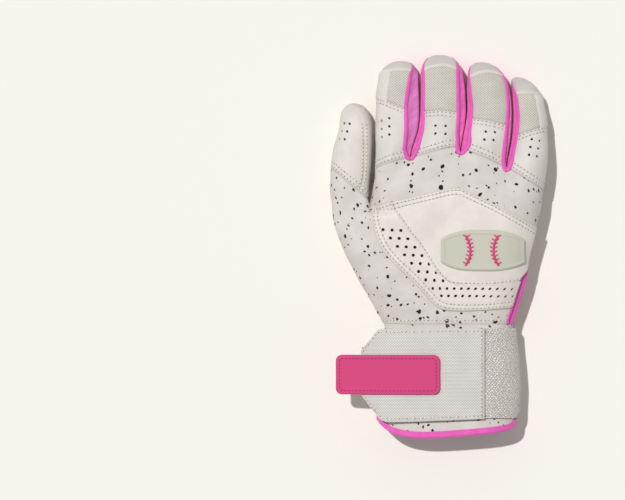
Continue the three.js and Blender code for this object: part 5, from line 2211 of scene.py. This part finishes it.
@dataclass
class Wrist:
    """Speckled cuff, its pink hem, the woven band and the loop fastener panel."""

    ring: int = 150
    weave_turn: float = 12.0
    loop_across: Point = (-29.0, 20.0)
    loop_along: Point = (17.0, 63.0)
    pull_across: Point = (-0.8, 22.2)
    pull_along: Point = (-4.4, 2.9)
    band_inset: float = 1.5
    band_end: float = STRAP_ROOT - 5
    band_low_palm: float = 10.0
    band_low_back: float = 12.0
    band_over_hem: float = 5.0
    core: Place = (4.5, 0.0, 18.0)

    def out(self, points: Array) -> Array:
        """Ways out from the middle line of the wrist."""
        return (points - self.core) * (1, 0, 1)

    def ring_points(self, low_up: Sequence[float], top: float | None) -> Array:
        """Points of a ring round the wrist.

        Args:
            low_up: Heights over the hem, or shares of the way to the top.
            top: Upper end, or None to keep heights over the hem.

        Returns:
            A grid of points, one row for each height.
        """
        u = np.linspace(0, 1, self.ring + 1)
        side = np.where((u % 1) < 0.5, 1.0, -1.0)
        t = (1 + side * np.cos(2 * np.pi * (u % 0.5))) / 2
        start = hem(mix(HEM_LEFT, HEM_RIGHT, t), side)
        v = np.array(low_up, float)[:, None]
        y = start + v if top is None else mix(start, top, v)
        x = mix(thumb_side(y), little_side(y), t)
        return np.stack([x, y, HAND.height(x, y, np.broadcast_to(side, x.shape))], axis=2)

    def ring_surface(self, low_up: Sequence[float], top: float | None) -> Surface:
        """Ring round the wrist, closed on itself."""
        points = self.ring_points(low_up, top)
        return Surface(points, self.out(points), True)

    def cuff(self) -> Panel:
        """The speckled cuff.

        Returns:
            The panel.
        """
        surface = self.ring_surface(np.linspace(0, 1, 46) ** 1.2, CUFF_TOP)
        return Panel("cuff", surface, SPECKLED, thick=2.0, edges={"high": Edge(0.4, 2.0, dark=0.7)},
                     ripple=0.1, reverse=KNIT_REVERSE)

    def binding(self) -> Panel:
        """The pink tape folded round the hem.

        Returns:
            The panel.
        """
        turn = np.linspace(0, 1, 19)
        fold_from, fold_to = 0.36, 0.64
        fold = np.clip((turn - fold_from) / (fold_to - fold_from), 0, 1)
        up = np.interp(turn, (0, fold_from, fold_to, 1), (4.2, 0.2, 0.2, 3.3)) - 1.3 * np.sin(np.pi * fold)
        out = mix(-2.9, 1.0, rounded(fold))
        level = self.ring_surface((0.0, 2.0, 4.0), None).normals[1]
        points = self.ring_points(up, None) + level * out[:, None, None]
        outward = np.where(turn < 0.5, -1, 1)[:, None, None] * level
        return Panel("cuff_binding", Surface(points, outward, True), PINK, thick=0.6, ripple=0.0)

    def band(self) -> Panel:
        """The woven band: from the thumb side across the palm and round to the strap root.

        Returns:
            The panel.
        """
        y0 = BAND_TOP / 2
        palm_run = float(little_side(y0) - thumb_side(y0)) - self.band_inset
        back_run = float(little_side(y0)) - self.band_end
        turn = palm_run / (palm_run + back_run)
        u = np.linspace(0, 1, 171)
        on_palm = u <= turn
        side = np.where(on_palm, -1.0, 1.0)
        past = np.clip((u - turn) / (1 - turn), 0, 1)
        t = np.where(on_palm, rounded(np.clip(u / turn, 0, 1)), rounded_start(past))

        def across(y: Array) -> Array:
            """x at each place along the band."""
            start, edge = thumb_side(y) + self.band_inset, little_side(y)
            return np.where(on_palm, mix(start, edge, t), mix(edge, self.band_end, t))

        over_hem = hem(across(np.full(u.shape, HEM_SIDE)), side) + self.band_over_hem
        low = np.maximum(np.where(on_palm, self.band_low_palm, self.band_low_back), over_hem)
        y = mix(low[None], BAND_TOP, np.linspace(0, 1, 48)[:, None])
        x = across(y)
        points = np.stack([x, y, HAND.height(x, y, np.broadcast_to(side, x.shape))], axis=2)
        edge = Edge(0.5, 1.6, dark=0.5)
        surface = Surface(points, self.out(points))
        return Panel("wrist_band", surface, KNIT_BAND, offset=DRAPE + BAND_THICK, thick=BAND_THICK,
                     edges={"low": edge, "high": edge, "left": edge}, ripple=0.06)

    def loop_panel(self) -> Panel:
        """The loop fastener under the strap.

        Returns:
            The panel.
        """
        plan = cut_field(*(flat(at) for at in self.loop_across + self.loop_along), 50, 46)
        return Panel("loop_panel", Surface.on(HAND, Side.BACK, plan), PILE, offset=1.7, thick=1.1,
                     edges=around(Edge(0.4, 1.4, dark=0.4)), ripple=0.0)

    def pull_loop(self) -> Panel:
        """The pink pull loop at the palm side of the hem.

        Returns:
            The panel.
        """
        low, high = self.pull_along
        plan = cut_field(*(flat(at) for at in self.pull_across), lambda x: hem(x, -1) + low,
                         lambda x: hem(x, -1) + high, 30, 16)
        edge = Edge(0.3, 1.4, dark=0.3)
        return Panel("pull_loop", Surface.on(HAND, Side.PALM, plan), PINK, offset=2.3, thick=0.9,
                     edges={"left": edge, "right": edge, "low": edge}, ripple=0.0)

    def build(self) -> None:
        """Makes the pieces of the wrist."""
        for panel in (self.cuff(), self.binding(), self.band(), self.loop_panel(), self.pull_loop()):
            obj = panel.build()
            if panel.finish is KNIT_BAND:
                obj.data.materials.append(WOVEN.material())
                for polygon in obj.data.polygons:
                    polygon.material_index = int(polygon.center.z < self.weave_turn * MM)
            settle(obj, panel.finish, "hand", panel.name)


@dataclass
class Strap:
    """The closing strap: woven end, hook pad and the two layers of the pull tab."""

    crown: float = 37.9
    corner: float = 3.6
    row_inset: float = 2.3
    row_corner: float = 2.0
    bend_run: float = 14.0
    root_middle: Point = (39.0, 39.0)
    hook_across: Point = (-36.0, -4.0)
    hook_along: Point = (22.0, 58.0)
    low: Line = Knots((STRAP_END, 26.4), (-40, 15.3), (-36.2, 11), (-30, 9.8), (STRAP_ROOT, 11.7))
    high: Line = Knots((STRAP_END, 53.4), (-43, 60), (-38, 66), (-30, 66.6), (STRAP_ROOT, 66.9))

    def level(self, x: Array) -> Array:
        """Underside of the strap, arched over the cuff and on past its thumb side."""
        return self.crown - 0.0022 * np.minimum(0, x + 8) ** 2 - 0.0014 * np.maximum(0, x - 5) ** 2

    def surface(self, plan: Grid, side: Side = Side.BACK) -> Surface:
        """A plan grid at the strap's level."""
        x, y = plan
        return Surface(np.stack([x, y, self.level(x)], axis=2), np.array([0, 0, side.value], float))

    def corner_cut(self, x: Array) -> Array:
        """How far the tab's round corners cut in at x."""
        d = np.minimum(self.corner, np.minimum(x - TAB_FROM, TAB_TO - x))
        return self.corner - np.sqrt(np.maximum(0, self.corner**2 - (self.corner - d) ** 2))

    def tab_plan(self, to: float, columns: int, ease: Line) -> Grid:
        """Plan of a tab layer."""
        return cut_field(flat(TAB_FROM), flat(to), lambda x: TAB_LOW + self.corner_cut(x),
                         lambda x: TAB_HIGH - self.corner_cut(x), columns, 34, ease, rounded)

    def tab(self) -> tuple[Panel, Panel]:
        """The front and back layers of the pull tab.

        Returns:
            The two panels.
        """
        edges = around(Edge(0.7, 1.3, dark=0.5))
        front = Panel("tab_front", self.surface(self.tab_plan(TAB_TO, 84, rounded)), TAB_RUBBER,
                      offset=STRAP_THICK + 0.3 + TAB_THICK, thick=TAB_THICK, edges=edges, ripple=0.0)
        back = Panel("tab_back", self.surface(self.tab_plan(STRAP_END - 0.3, 26, rounded_start), Side.PALM),
                     TAB_RUBBER, thick=TAB_THICK, edges=edges, ripple=0.0)
        return front, back

    def build(self) -> None:
        """Makes the strap's pieces; the woven end and its stitching cross the joint at its root and so go on
        no body.
        """
        sewn = Edge(0.5, 1.5, (1.9,), dark=0.4)
        plan = cut_field(flat(STRAP_END), flat(STRAP_ROOT), self.low, self.high, 76, 56)
        edges = {"left": sewn, "low": sewn, "high": sewn, "right": Edge(1.5, 4.0, (2.2,), dark=0.9)}
        woven = Panel("strap_end", self.surface(plan), WOVEN, offset=STRAP_THICK, thick=STRAP_THICK,
                      edges=edges, ripple=0.05)
        plan = cut_field(*(flat(at) for at in self.hook_across + self.hook_along), 32, 36)
        hook = Panel("hook_pad", self.surface(plan, Side.PALM), PILE, offset=1.4, thick=1.1, ripple=0.0)
        front, back = self.tab()
        across = tuple(place(STRAP_ROOT - run, *self.root_middle) for run in (0, self.bend_run))
        settle(woven.build(), WOVEN, "strap", "strap_end", across=across)
        settle(Sewing("strap_stitching", rows=woven.rows()).build(), THREAD, "strap", across=across)
        for panel in (hook, front, back):
            settle(panel.build(), panel.finish, "strap", panel.name)
        thread = Sewing("tab_stitching", RED_THREAD, pitch=2.3, radius=0.3, holes=False,
                        rows=[self.tab_row(front)])
        settle(thread.build(), RED_THREAD, "strap")

    def tab_row(self, tab: Panel) -> Row:
        """Stitch row all round the tab, set in from its edge.

        Args:
            tab: Front layer of the tab.

        Returns:
            The row.
        """
        r, turn = self.row_corner, np.linspace(0, np.pi / 2, 7)
        inset = self.row_inset + r
        x0, x1, y0, y1 = TAB_FROM + inset, TAB_TO - inset, TAB_LOW + inset, TAB_HIGH - inset
        ring = []
        for quarter, (x, y) in enumerate(((x1, y1), (x0, y1), (x0, y0), (x1, y0))):
            way = turn + quarter * np.pi / 2
            ring.append(np.column_stack([x + r * np.cos(way), y + r * np.sin(way)]))
        path = np.concatenate([*ring, ring[0][:1]])
        return tab.row_on(follow(path, path, np.linspace(0, runs(path)[-1], 400)))


# Stage


@dataclass
class Stage:
    """Floor, light and camera: straight down, with the glove right of the middle."""

    floor: Colour = (250, 246, 238)
    photo_scale: float = 0.6136
    width: int = 625
    height: int = 500
    hem_at: Point = (440.0, 437.0)
    far: float = 3.0
    level: float = 0.02
    sensor: float = 36.0
    sun_power: float = 2.18
    sun_angle: float = 1.3
    sun_way: Place = (0.27, -0.27, -1.0)
    surround: Tint = (0.95, 0.995, 1.0, 1.0)
    surround_power: float = 0.34
    floor_size: float = 4.0
    floor_level: float = -0.0002

    def build_camera(self) -> None:
        """Camera that puts the drawing's origin at its place in the picture."""
        x = (self.width / 2 - self.hem_at[0]) * self.photo_scale
        y = (self.hem_at[1] - self.height / 2) * self.photo_scale
        data = bpy.data.cameras.new("camera")
        data.sensor_width = self.sensor
        data.lens = self.sensor * self.far / (self.width * self.photo_scale * MM)
        camera = bpy.data.objects.new("camera", data)
        px, py, _ = place(x, y)
        camera.location = (px, py, self.level + self.far)
        bpy.context.scene.collection.objects.link(camera)
        bpy.context.scene.camera = camera

    def build_light(self) -> None:
        """A soft sun from the upper left and an even surround."""
        sun = bpy.data.lights.new("sun", "SUN")
        sun.energy = self.sun_power
        sun.angle = math.radians(self.sun_angle)
        lamp = bpy.data.objects.new("sun", sun)
        lamp.rotation_mode = "QUATERNION"
        lamp.rotation_quaternion = Vector(self.sun_way).to_track_quat("-Z", "Y")
        bpy.context.scene.collection.objects.link(lamp)
        world = bpy.data.worlds.new("surround")
        world.use_nodes = True
        light = world.node_tree.nodes["Background"].inputs
        light["Color"].default_value = self.surround
        light["Strength"].default_value = self.surround_power
        bpy.context.scene.world = world

    def build_floor(self) -> None:
        """Pale floor under the glove."""
        bpy.ops.mesh.primitive_plane_add(size=self.floor_size, location=(0, 0, self.floor_level))
        plane = bpy.context.object
        plane.name = "floor"
        bpy.ops.object.transform_apply(location=True)
        g = Graph("floor_paper")
        g.use("Base Color", linear(self.floor))
        g.use("Roughness", 0.9)
        g.use("Specular IOR Level", 0.1)
        plane.data.materials.append(g.material)

    def build(self) -> None:
        """Sets the stage."""
        self.build_camera()
        self.build_light()
        self.build_floor()
        bpy.context.scene.view_settings.view_transform = "Standard"


FINGER_PIECES = (
    Finger(FINGERS[0], Vents((-31.3, 195.4), (-4.7, -1.5), (0.0, -5.05), 2, 3),
           Knots((-39.4, 208.6), (-35, 207.4), (-28, 204.2), (-22, 201.6)),
           bend_from=172.0, front_vents=((-24, 217.5), (-25, 199)), arch=0.012, strip=6.6),
    Finger(FINGERS[1], Vents((-3.1, 190.8), (6.2, -0.2), (-0.1, -4.9), 2, 2),
           Knots((-9.5, 199.8), (0, 200.4), (10.7, 199)),
           bend_from=178.6, front_vents=((0.5, 219), (2.5, 204)), arch=0.026),
    Finger(FINGERS[2], Vents((27.6, 187.1), (5.6, -0.3), (-0.9, -4.9), 2, 2),
           Knots((19, 195.6), (30, 194), (40, 191.4)),
           bend_from=177.4, front_vents=((29.5, 215), (31, 199)), arch=0.028),
    Finger(FINGERS[3], Vents((55.8, 182.5), (4.9, -0.9), (-0.9, -4.8), 2, 3),
           Knots((48, 185.6), (56, 188.4), (66, 191.4)),
           bend_from=165.8, front_vents=((52.5, 205), (56, 188.5)), arch=0.012, strip=-4.8),
)


def main() -> None:
    """Builds the stage and the glove's sub-assemblies in order."""
    logging.basicConfig(level=logging.INFO, format="%(name)s %(message)s")
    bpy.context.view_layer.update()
    Stage().build()
    HandBack().build()
    HandPalm().build()
    for finger in FINGER_PIECES:
        finger.build()
    Thumb().build()
    Wrist().build()
    Strap().build()


if __name__ == "__main__":
    main()
